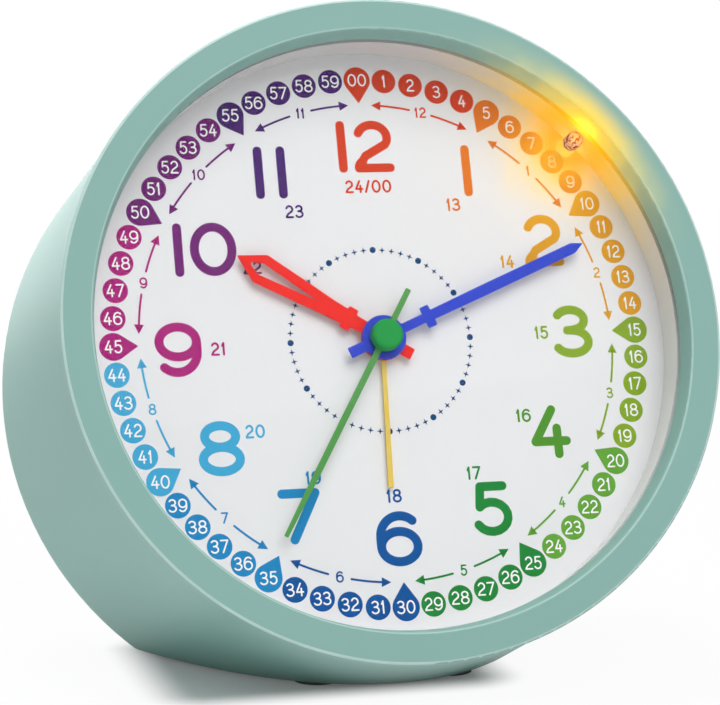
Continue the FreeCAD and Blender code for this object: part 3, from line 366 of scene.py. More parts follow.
# %% [markdown]
# "Moulded skin" is the texture of a plastic part as it leaves the tool. Fine grain goes to the
# bump and the gloss, and slower noise drifts the colour. The sizes are in features per metre.

# %% Moulded skin
SLOW_DETAIL = 3.0
FINE_DETAIL = 1.0
DRIFT_GAIN = 2.0


def moulded_skin():
    made, given, out = group("moulded_skin", [
        ("Color", COLOUR, (0.5, 0.5, 0.5, 1)), ("Drift", FLOAT, 0.03), ("Roughness", FLOAT, 0.35),
        ("Gloss Drift", FLOAT, 0.08), ("Grain Scale", FLOAT, 9000.0), ("Drift Scale", FLOAT, 60.0)],
        [("Color", COLOUR), ("Roughness", FLOAT), ("Height", FLOAT)])
    slow = noise(made, given.outputs["Drift Scale"], SLOW_DETAIL)
    fine = noise(made, given.outputs["Grain Scale"], FINE_DETAIL)
    drift = math_node(made, "MULTIPLY", swing(made, slow, given.outputs["Drift"]), DRIFT_GAIN)
    value = math_node(made, "ADD", drift, 1.0)
    grey = made.nodes.new("ShaderNodeCombineColor")
    for channel in grey.inputs:
        feed(made, channel, value)
    feed(made, out.inputs["Color"],
         mix_colours(made, 1.0, given.outputs["Color"], grey.outputs[0], "MULTIPLY"))
    gloss = swing(made, fine, given.outputs["Gloss Drift"])
    feed(made, out.inputs["Roughness"], math_node(made, "ADD", gloss, given.outputs["Roughness"]))
    feed(made, out.inputs["Height"], fine)
    return made


SKIN = moulded_skin()
print("group", SKIN.name)

# %% [markdown]
# "Edge polish" finds corners by comparing the true normal with one rounded over a small radius.
# Handled corners are paler, in patches of slow noise.

# %% Edge polish
BEVEL_SAMPLES = 4
CORNER_GAIN = 6.0
CORNER_PATCHES = (300.0, 3.0, 1.0, 0.4)


def edge_polish():
    made, given, out = group("edge_polish", [
        ("Color", COLOUR, (0.5, 0.5, 0.5, 1)), ("Worn Color", COLOUR, (0.8, 0.8, 0.8, 1)),
        ("Radius", FLOAT, 0.0006), ("Strength", FLOAT, 0.5)], [("Color", COLOUR)])
    rounded = made.nodes.new("ShaderNodeBevel")
    rounded.samples = BEVEL_SAMPLES
    feed(made, rounded.inputs["Radius"], given.outputs["Radius"])
    true = made.nodes.new("ShaderNodeNewGeometry")
    along = vector_node(made, "DOT_PRODUCT", rounded.outputs[0], true.outputs["Normal"])
    bent = math_node(made, "MULTIPLY", math_node(made, "SUBTRACT", 1.0, along), CORNER_GAIN)
    mask = math_node(made, "MULTIPLY", bent, patches(made, *CORNER_PATCHES))
    mask = math_node(made, "MULTIPLY", math_node(made, "MINIMUM", mask, 1.0), given.outputs["Strength"])
    feed(made, out.inputs["Color"],
         mix_colours(made, mask, given.outputs["Color"], given.outputs["Worn Color"]))
    return made


POLISH = edge_polish()
print("group", POLISH.name)

# %% [markdown]
# Each of the ring's two rims carries a painted highlight, a thin pale line in place of the light it
# catches.
# "Painted rim highlight" finds them on the bezel by the distance from the spindle's axis and the height,
# and slow noise makes them uneven. The lines' depth and widths are in metres.

# %% Painted rim highlight
FACE_SLACK = 0.02
HIGHLIGHT_DEPTH = 0.00032
OUTER_HIGHLIGHT_WIDTH = 0.00005
INNER_HIGHLIGHT_WIDTHS = (0.00018, 0.00008)
INNER_HIGHLIGHT_SHARE = 0.6
HIGHLIGHT_PATCHES = (160.0, 3.0, 0.6, 0.6)

ring_points = [v.co - dial_centre for v in nodes["front_bezel"].data.vertices]
face_radii = [p.cross(OUT).length for p in ring_points if p.dot(OUT) > (bezel_face - FACE_SLACK) * MM]
face_inner, face_outer = min(face_radii), max(face_radii)


def rim_line():
    made, given, out = group("rim_line", [("Strength", FLOAT, 1.0)], [("Mask", FLOAT)])
    radius, height = about(made, dial_centre)
    outer = math_node(made, "GREATER_THAN", radius, face_outer - OUTER_HIGHLIGHT_WIDTH)
    inner = math_node(made, "MULTIPLY",
                      math_node(made, "GREATER_THAN", radius, face_inner - INNER_HIGHLIGHT_WIDTHS[0]),
                      math_node(made, "LESS_THAN", radius, face_inner + INNER_HIGHLIGHT_WIDTHS[1]))
    inner = math_node(made, "MULTIPLY", inner, INNER_HIGHLIGHT_SHARE)
    near = math_node(made, "GREATER_THAN", height, bezel_face * MM - HIGHLIGHT_DEPTH)
    mask = math_node(made, "MULTIPLY", math_node(made, "MAXIMUM", outer, inner), near)
    mask = math_node(made, "MULTIPLY", mask, patches(made, *HIGHLIGHT_PATCHES))
    mask = math_node(made, "MULTIPLY", mask, given.outputs["Strength"])
    feed(made, out.inputs["Mask"], math_node(made, "MINIMUM", mask, 1.0))
    return made


RIM_HIGHLIGHT = rim_line()
print("ring face from", round(face_inner / MM, 2), "to", round(face_outer / MM, 2), "mm")

# %% [markdown]
# "Drawn metal" is for screws, springs and contact strips: fine lines along one direction, from
# noise that is long one way and narrow the other two.

# %% Drawn metal
FEATURES_ALONG = 120.0
FEATURES_ACROSS = 9000.0
DARKEST = (0.05, 0.05, 0.05, 1)
DARK_SHARE = 0.35
LINE_SHARE = 0.2


def drawn_metal():
    made, given, out = group("drawn_metal", [
        ("Color", COLOUR, (0.6, 0.6, 0.6, 1)), ("Roughness", FLOAT, 0.3), ("Contrast", FLOAT, 0.25)],
        [("Color", COLOUR), ("Roughness", FLOAT), ("Height", FLOAT)])
    stretch = made.nodes.new("ShaderNodeMapping")
    stretch.inputs["Scale"].default_value = (FEATURES_ALONG, FEATURES_ACROSS, FEATURES_ACROSS)
    feed(made, stretch.inputs["Vector"], own_point(made))
    drawn_lines = noise(made, 1.0, point=stretch.outputs[0])
    contrast = swing(made, drawn_lines, given.outputs["Contrast"])
    dark = mix_colours(made, DARK_SHARE, given.outputs["Color"], DARKEST)
    share = math_node(made, "ADD", contrast, LINE_SHARE)
    feed(made, out.inputs["Color"], mix_colours(made, share, given.outputs["Color"], dark))
    feed(made, out.inputs["Roughness"], math_node(made, "ADD", contrast, given.outputs["Roughness"]))
    feed(made, out.inputs["Height"], drawn_lines)
    return made


METAL = drawn_metal()
print("group", METAL.name)

# %% [markdown]
# The lamp throws a warm pool of light on whatever stands near it. Real light alone would bleach the
# white parts, and the photograph shows them deep amber, so "Lamp glow" also tints them by their
# distance from the lamp: pale yellow in the core, then amber, then yellow. The distance is measured
# on the piece itself, so that the pool stays in place from any side, and slow noise makes its edge
# uneven. Past the bezel's inner rim the pool can be made weaker.

# %% Lamp glow
HEIGHT_SHARE = 0.45
POOL_SHARES = (("Wide Color", 1.0), ("Deep Color", 0.60), ("Core Color", 0.17))
POOL_PATCHES = (220.0, 1.0, 0.9, 0.55)
RIM_FADE = (0.0515, 0.0572)

lamp_low, lamp_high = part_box("night_light_lamp")
lamp_middle = (lamp_low + lamp_high) / 2
lamp_top = raised(lamp_middle, "night_light_lamp")


# The pool is painted light: it tints the colour and makes the surface glow, though the surface is no lamp.
def lamp_glow():
    made, given, out = group("lamp_glow", [
        ("Color", COLOUR, (0.5, 0.5, 0.5, 1)), ("Core Color", COLOUR, (1, 0.9, 0.4, 1)),
        ("Deep Color", COLOUR, (1, 0.4, 0.02, 1)), ("Wide Color", COLOUR, (1, 0.7, 0.1, 1)),
        ("Reach", FLOAT, 0.013), ("Amount", FLOAT, 1.0), ("Beyond Rim", FLOAT, 1.0)],
        [("Color", COLOUR), ("Light", COLOUR)])
    across, height = about(made, lamp_middle)
    height = math_node(made, "MULTIPLY", height, HEIGHT_SHARE)
    squared = math_node(made, "ADD", math_node(made, "MULTIPLY", height, height),
                        math_node(made, "MULTIPLY", across, across))
    squared = math_node(made, "MULTIPLY", squared, patches(made, *POOL_PATCHES))
    from_spindle = about(made, dial_centre)[0]
    rim = ramp(made, from_spindle, *RIM_FADE, 1.0, given.outputs["Beyond Rim"], "SMOOTHSTEP")
    amount = math_node(made, "MULTIPLY", rim, given.outputs["Amount"])
    colour = given.outputs["Color"]
    light = (0, 0, 0, 1)
    for name, share in POOL_SHARES:
        wide = math_node(made, "MULTIPLY", given.outputs["Reach"], share)
        fall = math_node(made, "DIVIDE", squared, math_node(made, "MULTIPLY", wide, wide))
        mask = math_node(made, "MULTIPLY", math_node(made, "POWER", 1 / math.e, fall), amount)
        colour = mix_colours(made, mask, colour, given.outputs[name])
        light = mix_colours(made, mask, light, given.outputs[name])
    feed(made, out.inputs["Color"], colour)
    feed(made, out.inputs["Light"], light)
    return made


GLOW = lamp_glow()
print("lamp top", [round(c, 4) for c in lamp_top])

# %% [markdown]
# ## Finishes
# A colour is written as it looks on a screen and turned into the linear values that the shader
# wants. One function makes the plastic, painted and resin finishes, because they are all a skin
# with polished corners over a Principled shader. Each finish then gives its own numbers.

# %% Helpers for finishes
PALE_GAIN = 1.25
PALE_LIFT = 0.03
POOL_CORE = (255, 246, 150)


def screen(red, green, blue):
    """Linear colour from 0 to 255 screen values, by the standard curve of screens."""
    return tuple(c / 12.92 if c <= 0.04045 else ((c + 0.055) / 1.055) ** 2.4
                 for c in (red / 255, green / 255, blue / 255)) + (1.0,)


def place_group(tree, which, **values):
    """Places a shared effect and feeds its sockets. An underscore in a name stands for a space."""
    made = tree.nodes.new("ShaderNodeGroup")
    made.node_tree = which
    for name, value in values.items():
        feed(tree, made.inputs[name.replace("_", " ")], value)
    return made


def bumped(tree, shader, height, depth):
    """Feeds a height into the shader's normal. The depth is in metres."""
    bump = tree.nodes.new("ShaderNodeBump")
    bump.inputs["Strength"].default_value = 1.0
    bump.inputs["Distance"].default_value = depth
    feed(tree, bump.inputs["Height"], height)
    feed(tree, shader.inputs["Normal"], bump.outputs[0])


def base_colour(material):
    """The Base Color socket of a finish, and the socket that feeds it now."""
    socket = material.node_tree.nodes["Principled BSDF"].inputs["Base Color"]
    return socket, socket.links[0].from_socket


def plastic(name, colour, roughness=0.35, drift=0.03, edge=0.0004, grain=9000.0, depth=4e-6,
            wear=0.35, specular=0.5):
    """A moulded, painted or resin finish. The edge's radius and the grain's depth are in metres."""
    made, tree, shader = new_material(name)
    shader.inputs["Specular IOR Level"].default_value = specular
    skin = place_group(tree, SKIN, Color=colour, Drift=drift, Roughness=roughness, Grain_Scale=grain)
    pale = tuple(min(1.0, c * PALE_GAIN + PALE_LIFT) for c in colour[:3]) + (1.0,)
    polish = place_group(tree, POLISH, Color=skin.outputs["Color"], Worn_Color=pale, Radius=edge,
                         Strength=wear)
    feed(tree, shader.inputs["Base Color"], polish.outputs["Color"])
    feed(tree, shader.inputs["Roughness"], skin.outputs["Roughness"])
    bumped(tree, shader, skin.outputs["Height"], depth)
    return made


def metal(name, colour, roughness=0.3, contrast=0.3, depth=3e-6):
    """A drawn metal finish. The lines' depth is in metres."""
    made, tree, shader = new_material(name)
    shader.inputs["Metallic"].default_value = 1.0
    drawn = place_group(tree, METAL, Color=colour, Roughness=roughness, Contrast=contrast)
    feed(tree, shader.inputs["Base Color"], drawn.outputs["Color"])
    feed(tree, shader.inputs["Roughness"], drawn.outputs["Roughness"])
    bumped(tree, shader, drawn.outputs["Height"], depth)
    return made


def warmed(material, amount, reach_m, strength=0.25, deep=(255, 186, 0), wide=(255, 216, 56),
           beyond=1.0):
    """Paints the lamp's warm pool of light onto a finish: a tint, and a soft light of its own."""
    tree = material.node_tree
    shader = tree.nodes["Principled BSDF"]
    base, colour = base_colour(material)
    glow = place_group(tree, GLOW, Color=colour, Core_Color=screen(*POOL_CORE),
                       Deep_Color=screen(*deep), Wide_Color=screen(*wide), Reach=reach_m,
                       Amount=amount, Beyond_Rim=beyond)
    feed(tree, base, glow.outputs["Color"])
    feed(tree, shader.inputs["Emission Color"], glow.outputs["Light"])
    shader.inputs["Emission Strength"].default_value = strength
    return material


def dress(material, *names):
    """Gives a finish to construction pieces."""
    for name in names:
        slots = nodes[name].data.materials
        slots.clear()
        slots.append(material)


print("finish helpers ready")

# %% [markdown]
# The case is one colour of satin polypropylene. The bezel, the shell, the rear cover, the battery
# door and the top button all share it, with a slight drift so that large faces aren't flat. Only
# the bezel has the painted highlights on its rims and the lamp's painted pool of light.

# %% Mint plastic
MINT = screen(154, 200, 191)
MINT_HIGHLIGHT = screen(214, 243, 236)
HIGHLIGHT_STRENGTH = 0.95


# Its corners are paler than those of the other plastics: partly handling wear, partly a painted highlight.
def mint_plastic(name):
    return plastic(name, MINT, roughness=0.45, drift=0.02, edge=0.0005, wear=0.6, specular=0.25)


mint_bezel = mint_plastic("mint_bezel")
bezel_tree = mint_bezel.node_tree
bezel_base, bezel_colour = base_colour(mint_bezel)
# Painted highlight: the bezel's two rims are painted paler than its face.
bezel_highlight = place_group(bezel_tree, RIM_HIGHLIGHT, Strength=HIGHLIGHT_STRENGTH).outputs["Mask"]
feed(bezel_tree, bezel_base, mix_colours(bezel_tree, bezel_highlight, bezel_colour, MINT_HIGHLIGHT))
warmed(mint_bezel, amount=0.95, reach_m=0.014, strength=0.45, deep=(255, 206, 24),
       wide=(244, 222, 110), beyond=0.0)
dress(mint_bezel, "front_bezel")
dress(mint_plastic("mint_case"), "body_shell", "rear_cover", "battery_door", "snooze_button")
print("mint plastic on five pieces")

# %% [markdown]
# The wall between the lens and the dial is glossy white, so it mirrors the dial's edge. The dial is
# a matt printed sheet. Both carry the lamp's painted pool of light. The knobs and some plates of the
# movement are a plain white plastic.

# %% Whites
reflector_white = warmed(plastic("reflector_white", screen(226, 227, 226), roughness=0.22, wear=0.1),
                         amount=1.0, reach_m=0.017, strength=0.28)
dress(reflector_white, "reflector_ring")
dial_white = warmed(plastic("dial_white", screen(236, 236, 238), roughness=0.6, drift=0.008,
                            wear=0.05, specular=0.1), amount=0.97, reach_m=0.0085)
dress(dial_white, "dial_plate")
knob_white = plastic("knob_white", screen(240, 240, 236), roughness=0.3)
dress(knob_white, "time_knob", "alarm_knob", "alarm_slider", "movement_front_case",
      "movement_mid_plate")
print("three whites")

# %% [markdown]
# The four hands are thin stamped plates in satin enamel, each in its own colour, so that a child
# can tell them apart. The minute hand's colour is darker within a small circle round its pipe.

# %% Hand enamels
def enamel(name, *colour):
    return plastic(name, screen(*colour), roughness=0.5, specular=0.12, edge=0.0001, wear=0.3)


HUB_DARK = (0.0025, 0.0028)
HUB_BLUE = screen(30, 34, 150)

blue_enamel = enamel("blue_enamel", 38, 66, 204)
blue_tree = blue_enamel.node_tree
blue_base, blue_colour = base_colour(blue_enamel)
from_hub = vector_node(blue_tree, "DISTANCE", own_point(blue_tree), raised(dial_centre, "minute_hand"))
off_hub = ramp(blue_tree, from_hub, *HUB_DARK)
feed(blue_tree, blue_base, mix_colours(blue_tree, off_hub, HUB_BLUE, blue_colour))
dress(blue_enamel, "minute_hand")
dress(enamel("red_enamel", 240, 26, 16), "hour_hand")
dress(enamel("green_enamel", 84, 154, 78), "second_hand")
dress(enamel("cap_green", 4, 150, 62), "second_hand_cap")
dress(enamel("yellow_enamel", 232, 200, 96), "alarm_hand")
print("five enamels")

# %% [markdown]
# What the case hides is finished too: nylon wheels, brass pinions, plated screws, green boards,
# enamelled wire and two cells in plain sleeves. The four feet under it are soft grey rubber.

# %% Inner finishes
dress(plastic("grey_plastic", screen(110, 112, 115), roughness=0.5), "chassis", "movement_rear_case")
dress(plastic("black_plastic", screen(38, 38, 40), roughness=0.45), "lamp_holder", "control_chip",
      "sounder", "button_plunger", "movement_chip")
dress(plastic("gear_nylon", screen(226, 220, 200), roughness=0.45, drift=0.05), "third_wheel",
      "step_wheel", "rotor_shaft", "seconds_wheel", "centre_wheel", "motion_wheel", "alarm_wheel",
      "time_setting_gear", "alarm_setting_gear")
dress(plastic("board_green", screen(30, 96, 58), roughness=0.3, drift=0.08), "circuit_board",
      "button_board", "movement_board")
dress(plastic("cell_sleeve", screen(70, 78, 90), roughness=0.25), "cell_upper", "cell_lower")
dress(plastic("foot_rubber", screen(96, 100, 100), roughness=0.85, grain=4000.0, depth=2e-5), "foot_pads")
dress(metal("plated_steel", screen(196, 198, 200)), "chassis_screws", "cover_screws", "board_screws",
      "movement_screws", "contact_bridge", "contact_negative", "contact_positive", "stator",
      "alarm_switch_case", "button_switch_case", "quartz_crystal")
dress(metal("bright_brass", screen(212, 172, 96)), "cannon_pinion", "hour_wheel", "alarm_contact_leaf")
dress(metal("enamelled_copper", screen(184, 104, 62), roughness=0.25, contrast=0.6), "motor_coil")
dress(metal("sintered_magnet", screen(120, 120, 124), roughness=0.5), "rotor_magnet")
print("inner finishes on", sum(len(o.data.materials) > 0 for o in nodes.values()), "pieces")

# %% [markdown]
# The lens is a flat disc of clear plastic. Lamps would not reach the dial through a refracting
# disc, so shadow rays pass straight through it, and every other ray sees real clear plastic.

# %% Clear lens
LENS_BENDING = 1.12
LENS_TINT = (0.99, 0.995, 0.995, 1)
HAZE_SCALE = 900.0
HAZE = 0.03


def clear_plastic():
    made, tree, shader = new_material("clear_lens")
    shader.inputs["Transmission Weight"].default_value = 1.0
    shader.inputs["IOR"].default_value = LENS_BENDING
    shader.inputs["Base Color"].default_value = LENS_TINT
    feed(tree, shader.inputs["Roughness"], math_node(tree, "MULTIPLY", noise(tree, HAZE_SCALE), HAZE))
    passing = tree.nodes.new("ShaderNodeBsdfTransparent")
    lens_rays = tree.nodes.new("ShaderNodeLightPath")
    mix_shaders(tree, lens_rays.outputs["Is Shadow Ray"], shader, passing)
    return made


dress(clear_plastic(), "lens")
print("clear lens")

# %% [markdown]
# The night light is a small diode in warm tinted resin. Its crystal shows as a rough pinkish ball in
# the middle, with dark specks from noise, and the resin around it shines. A small point lamp in
# front of it lights the dial's edge, but it isn't seen itself. Lengths are in metres, and only the
# lamp's height is in millimetres.

# %% Night light
CRYSTAL = (0.0023, 0.0027)
CRYSTAL_DEPTH = 0.0013
SPECK_SCALE = 1700.0
SPECK_DETAIL = 4.0
SPECK_EDGE = (0.52, 0.60)
RESIN_COLOURS = (("Base Color", (236, 176, 136), (120, 60, 44), (255, 230, 110)),
                 ("Emission Color", (226, 150, 100), (60, 22, 12), (255, 226, 70)))
RESIN_STRENGTH = 0.3
LAMP_POWER = 0.0012
LAMP_COLOUR = (1.0, 0.62, 0.12)
LAMP_RADIUS = 0.0015
LAMP_HEIGHT = 3.0

lamp_resin = plastic("lamp_resin", screen(240, 178, 128), roughness=0.4, drift=0.1, wear=0.2,
                     specular=0.2)
resin_tree = lamp_resin.node_tree
resin = resin_tree.nodes["Principled BSDF"]
from_crystal = vector_node(resin_tree, "DISTANCE", own_point(resin_tree), lamp_top - OUT * CRYSTAL_DEPTH)
shine = ramp(resin_tree, from_crystal, *CRYSTAL)
specks = ramp(resin_tree, noise(resin_tree, SPECK_SCALE, SPECK_DETAIL), *SPECK_EDGE)
for socket, pale, dark, shining in RESIN_COLOURS:
    crystal = mix_colours(resin_tree, specks, screen(*pale), screen(*dark))
    feed(resin_tree, resin.inputs[socket], mix_colours(resin_tree, shine, crystal, screen(*shining)))
resin.inputs["Emission Strength"].default_value = RESIN_STRENGTH
dress(lamp_resin, "night_light_lamp")

glow_lamp = bpy.data.lights.new("night_light", "POINT")
glow_lamp.energy = LAMP_POWER
glow_lamp.color = LAMP_COLOUR
glow_lamp.shadow_soft_size = LAMP_RADIUS
glow_object = bpy.data.objects.new("night_light", glow_lamp)
bpy.context.scene.collection.objects.link(glow_object)
glow_object.location = lamp_top + OUT * LAMP_HEIGHT * MM
glow_object.visible_glossy = False
glow_object.visible_camera = False
glow_object.visible_transmission = False
print("night light on")

# %% [markdown]
# ## The printed dial
# Every digit is a pen stroke of even width with round ends. So a digit is written as centre lines
# in a box one unit wide and one high, and a helper thickens them. Overlapping strokes are merged
# by a constrained triangulation, which leaves one clean outline for each digit.

# %% Digits as centre lines
def bow(centre_x, centre_y, radius_x, radius_y, start, end, steps=14):
    """Points of an elliptical arc between two angles in degrees."""
    turns = [math.radians(start + (end - start) * i / steps) for i in range(steps + 1)]
    return [(centre_x + radius_x * math.cos(t), centre_y + radius_y * math.sin(t)) for t in turns]


SIX = [bow(0.5, 0.33, 0.5, 0.33, 180, 360), bow(0.5, 0.33, 0.5, 0.33, 0, 180),
       [(0, 0.33)] + bow(0.54, 0.55, 0.54, 0.45, 180, 48)]
DIGITS = {
    "0": [bow(0.5, 0.5, 0.5, 0.5, 90, 270, 20), bow(0.5, 0.5, 0.5, 0.5, 270, 450, 20)],
    "1": [[(0.62, 0), (0.62, 1)], [(0.62, 1), (0.12, 0.76)]],
    "2": [bow(0.5, 0.70, 0.47, 0.30, 158, -30) + [(0.22, 0.27)] + bow(0.42, 0.0, 0.42, 0.22, 130, 180, 5),
          [(0, 0), (1, 0)]],
    "3": [bow(0.46, 0.765, 0.46, 0.235, 150, -90), bow(0.46, 0.265, 0.54, 0.265, 90, -150),
          [(0.34, 0.53), (0.5, 0.53)]],
    "4": [[(0.60, 1), (0, 0.29)], [(0, 0.29), (1, 0.29)], [(0.72, 0.58), (0.72, 0)]],
    "5": [[(0.90, 1), (0.16, 1)], [(0.16, 1), (0.10, 0.55)],
          bow(0.47, 0.325, 0.53, 0.325, 134, -150)],
    "6": SIX,
    "7": [[(0, 1), (1, 1)], [(1, 1), (0.28, 0)]],
    "8": [bow(0.5, 0.765, 0.42, 0.235, 90, 270), bow(0.5, 0.765, 0.42, 0.235, 270, 450),
          bow(0.5, 0.265, 0.5, 0.265, 90, 270), bow(0.5, 0.265, 0.5, 0.265, 270, 450)],
    "9": [[(1 - x, 1 - y) for x, y in stroke] for stroke in SIX],
    "/": [[(0, 0), (1, 1)]],
    "|": [[(0.5, 0), (0.5, 1)]],
}
SHARES = {"0": 0.86, "1": 0.42, "2": 0.77, "3": 0.77, "4": 0.77, "5": 0.75, "6": 0.85, "7": 0.78,
          "8": 0.84, "9": 0.85, "/": 0.52, "|": 0.0}
print(len(DIGITS), "signs")


# %% [markdown]
# A stroke becomes a ribbon: its left side, a round end, its right side and another round end. A
# word is a row of digits, each as wide as its share of the height.

# %% Strokes to outlines
CAP_STEPS = 7


def ribbon(path, width):
    """The outline of a round-ended stroke along a path."""
    half = width / 2
    points = [Vector(p) for p in path]
    count = len(points)
    sides = []
    for i in range(count):
        ahead = points[min(i + 1, count - 1)] - points[max(i - 1, 0)]
        sides.append(Vector((-ahead.y, ahead.x)).normalized() * half)
    left = [p + n for p, n in zip(points, sides)]
    right = [p - n for p, n in zip(points, sides)]

    def cap(centre, start):
        first = math.atan2(start.y, start.x)
        return [centre + Vector((math.cos(first - math.pi * k / CAP_STEPS),
                                 math.sin(first - math.pi * k / CAP_STEPS))) * half
                for k in range(1, CAP_STEPS)]
    return left + cap(points[-1], sides[-1]) + right[::-1] + cap(points[0], -sides[0])


def sign(character, left, low, width, height, stroke):
    """The ribbons of one digit whose outer box starts at (left, low)."""
    inner_width, inner_height = max(width - stroke, 0.0), height - stroke
    return [ribbon([(left + stroke / 2 + x * inner_width, low + stroke / 2 + y * inner_height)
                    for x, y in path], stroke) for path in DIGITS[character]]


def word(text, centre_x, centre_y, height, stroke, slim=1.0, gap=0.45):
    """The ribbons of a number, centred on a point. The gap is a share of the stroke."""
    widths = [max(SHARES[c] * height * slim, stroke) for c in text]
    space = stroke * gap
    total = sum(widths) + space * (len(text) - 1)
    left = centre_x - total / 2
    made = []
    for character, width in zip(text, widths):
        made += sign(character, left, centre_y - height / 2, width, height, stroke)
        left += width + space
    return made


print("a ribbon of two points has", len(ribbon([(0, 0), (1, 0)], 0.2)), "corners")

# %% [markdown]
# Ink has a real thickness here, a few hundredths of a millimetre. It catches the light as a print
# does, and nothing flickers against the dial. Each print is one piece of closed flat shapes, with a
# finish for each ink. The top and the bottom of the ink are heights above the dial in millimetres.

# %% Outlines to ink
INK = 0.04
LOW = 0.01
INSIDE_ONLY = 1
MERGE_DISTANCE = 1e-5


def merged(polygons):
    """Triangles that cover the union of polygons. The triangulation wants them anticlockwise."""
    points, faces = [], []
    for polygon in polygons:
        area = sum(a[0] * b[1] - b[0] * a[1] for a, b in zip(polygon, polygon[1:] + polygon[:1]))
        if area < 0:
            polygon = polygon[::-1]
        faces.append(list(range(len(points), len(points) + len(polygon))))
        points += [Vector((p[0], p[1])) for p in polygon]
    found = delaunay_2d_cdt(points, [], faces, INSIDE_ONLY, MERGE_DISTANCE, True)
    return found[0], [list(f) for f, origin in zip(found[2], found[5]) if origin]


class Print:
    """Collects inked shapes and turns them into one piece."""

    def __init__(self, name, height=0.0):
        self.name, self.height = name, height
        self.points, self.faces, self.inks, self.finishes = [], [], [], []

    def add(self, polygons, finish):
        if finish not in self.finishes:
            self.finishes.append(finish)
        ink = self.finishes.index(finish)
        flat, triangles = merged(polygons)
        first, count = len(self.points), len(flat)
        top, bottom = self.height + INK, self.height + LOW
        self.points += [at(p.x, p.y, top) for p in flat] + [at(p.x, p.y, bottom) for p in flat]
        edges = {}
        for a, b, c in triangles:
            u, v, w = flat[a], flat[b], flat[c]
            if (v - u).cross(w - u) < 0:
                b, c = c, b
            self.faces.append((first + a, first + b, first + c))
            self.faces.append((first + count + c, first + count + b, first + count + a))
            self.inks += [ink, ink]
            for start, end in ((a, b), (b, c), (c, a)):
                edges[(start, end)] = True
        for start, end in edges:
            if (end, start) not in edges:
                self.faces.append((first + start, first + count + start, first + count + end, first + end))
                self.inks.append(ink)

    def make(self, body="case"):
        mesh = bpy.data.meshes.new(self.name)
        mesh.from_pydata(self.points, [], self.faces)
        for finish in self.finishes:
            mesh.materials.append(finish)
        mesh.polygons.foreach_set("material_index", self.inks)
        piece = bpy.data.objects.new(self.name, mesh)
        bpy.context.scene.collection.objects.link(piece)
        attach(piece, body)
        print(self.name, len(mesh.polygons), "faces,", len(self.finishes), "inks")


print("ink is", round(INK - LOW, 3), "mm thick")

# %% [markdown]
# The hours run round the rainbow: each has its own ink, and the five minute marks that start at
# that hour share it. So a child sees at a glance which minutes belong to which hour.

# %% Inks
def ink(name, red, green, blue):
    return warmed(plastic(name, screen(red, green, blue), roughness=0.6, drift=0.03, wear=0.0,
                          specular=0.05), amount=0.7, reach_m=0.0085, strength=0.1)


HOUR_INKS = [
    ink("ink_12_red", 214, 62, 28), ink("ink_1_orange", 228, 120, 30), ink("ink_2_amber", 226, 162, 34),
    ink("ink_3_lime", 136, 170, 44), ink("ink_4_leaf", 104, 168, 62), ink("ink_5_green", 38, 138, 62),
    ink("ink_6_blue", 24, 88, 158), ink("ink_7_azure", 38, 138, 196), ink("ink_8_sky", 70, 172, 216),
    ink("ink_9_magenta", 174, 30, 122), ink("ink_10_purple", 115, 33, 116),
    ink("ink_11_violet", 74, 36, 112)]
DEEP_LEAF = ink("ink_4_deep", 84, 150, 52)
NAVY = ink("ink_navy", 26, 74, 124)
WHITE_INK = ink("ink_white", 250, 250, 250)
print(len(HOUR_INKS), "hour inks")

# %% [markdown]
# ### Minute marks
# Sixty discs ring the dial. Every fifth one is a drop whose point leads the eye to the hour. The
# white minute numbers lie on the discs, upright, as a child reads them. All sizes are millimetres.
# A slim share narrows the digits, and a gap is a share of the stroke.

# %% Minute marks and their numbers
MINUTE_ANGLE = 6
MARK_CIRCLE = 46.75
MARK_RISE = 0.35
MARK_STEPS = 32
DISC = 2.18
DROP = 2.4
DROP_TIP = 42.5
MINUTE_HEIGHT = 2.3
MINUTE_STROKE = 0.28
MINUTE_SLIM = 0.8
MINUTE_GAP = 0.8


def disc(centre_x, centre_y, radius, steps=MARK_STEPS):
    """A round shape of straight steps."""
    return [(centre_x + radius * math.cos(2 * math.pi * k / steps),
             centre_y + radius * math.sin(2 * math.pi * k / steps)) for k in range(steps)]


def drop(angle):
    """A round drop whose straight sides meet at a point nearer the middle of the dial."""
    reach_in = MARK_CIRCLE - DROP_TIP
    touch = math.degrees(math.acos(DROP / reach_in))
    head = [math.radians(-90 + touch + (360 - 2 * touch) * k / MARK_STEPS)
            for k in range(MARK_STEPS + 1)]
    shape = [(DROP * math.cos(t), MARK_CIRCLE + DROP * math.sin(t)) for t in head] + [(0, DROP_TIP)]
    turn = math.radians(angle)
    return [(x * math.cos(turn) + y * math.sin(turn), y * math.cos(turn) - x * math.sin(turn))
            for x, y in shape]


def lifted(polygon, rise):
    """A shape moved up the dial, because the whole print sits a little above the spindle."""
    return [(x, y + rise) for x, y in polygon]


marks = Print("minute_marks")
numbers = Print("minute_numbers", INK)
for minute in range(60):
    finish = HOUR_INKS[minute // 5]
    x, y = on_clock(MINUTE_ANGLE * minute, MARK_CIRCLE)
    shape = drop(MINUTE_ANGLE * minute) if minute % 5 == 0 else disc(x, y, DISC)
    marks.add([lifted(shape, MARK_RISE)], finish)
    text = "00" if minute == 0 else str(minute)
    numbers.add(word(text, x, y + MARK_RISE, MINUTE_HEIGHT, MINUTE_STROKE, MINUTE_SLIM, MINUTE_GAP),
                WHITE_INK)
marks.make()
numbers.make()
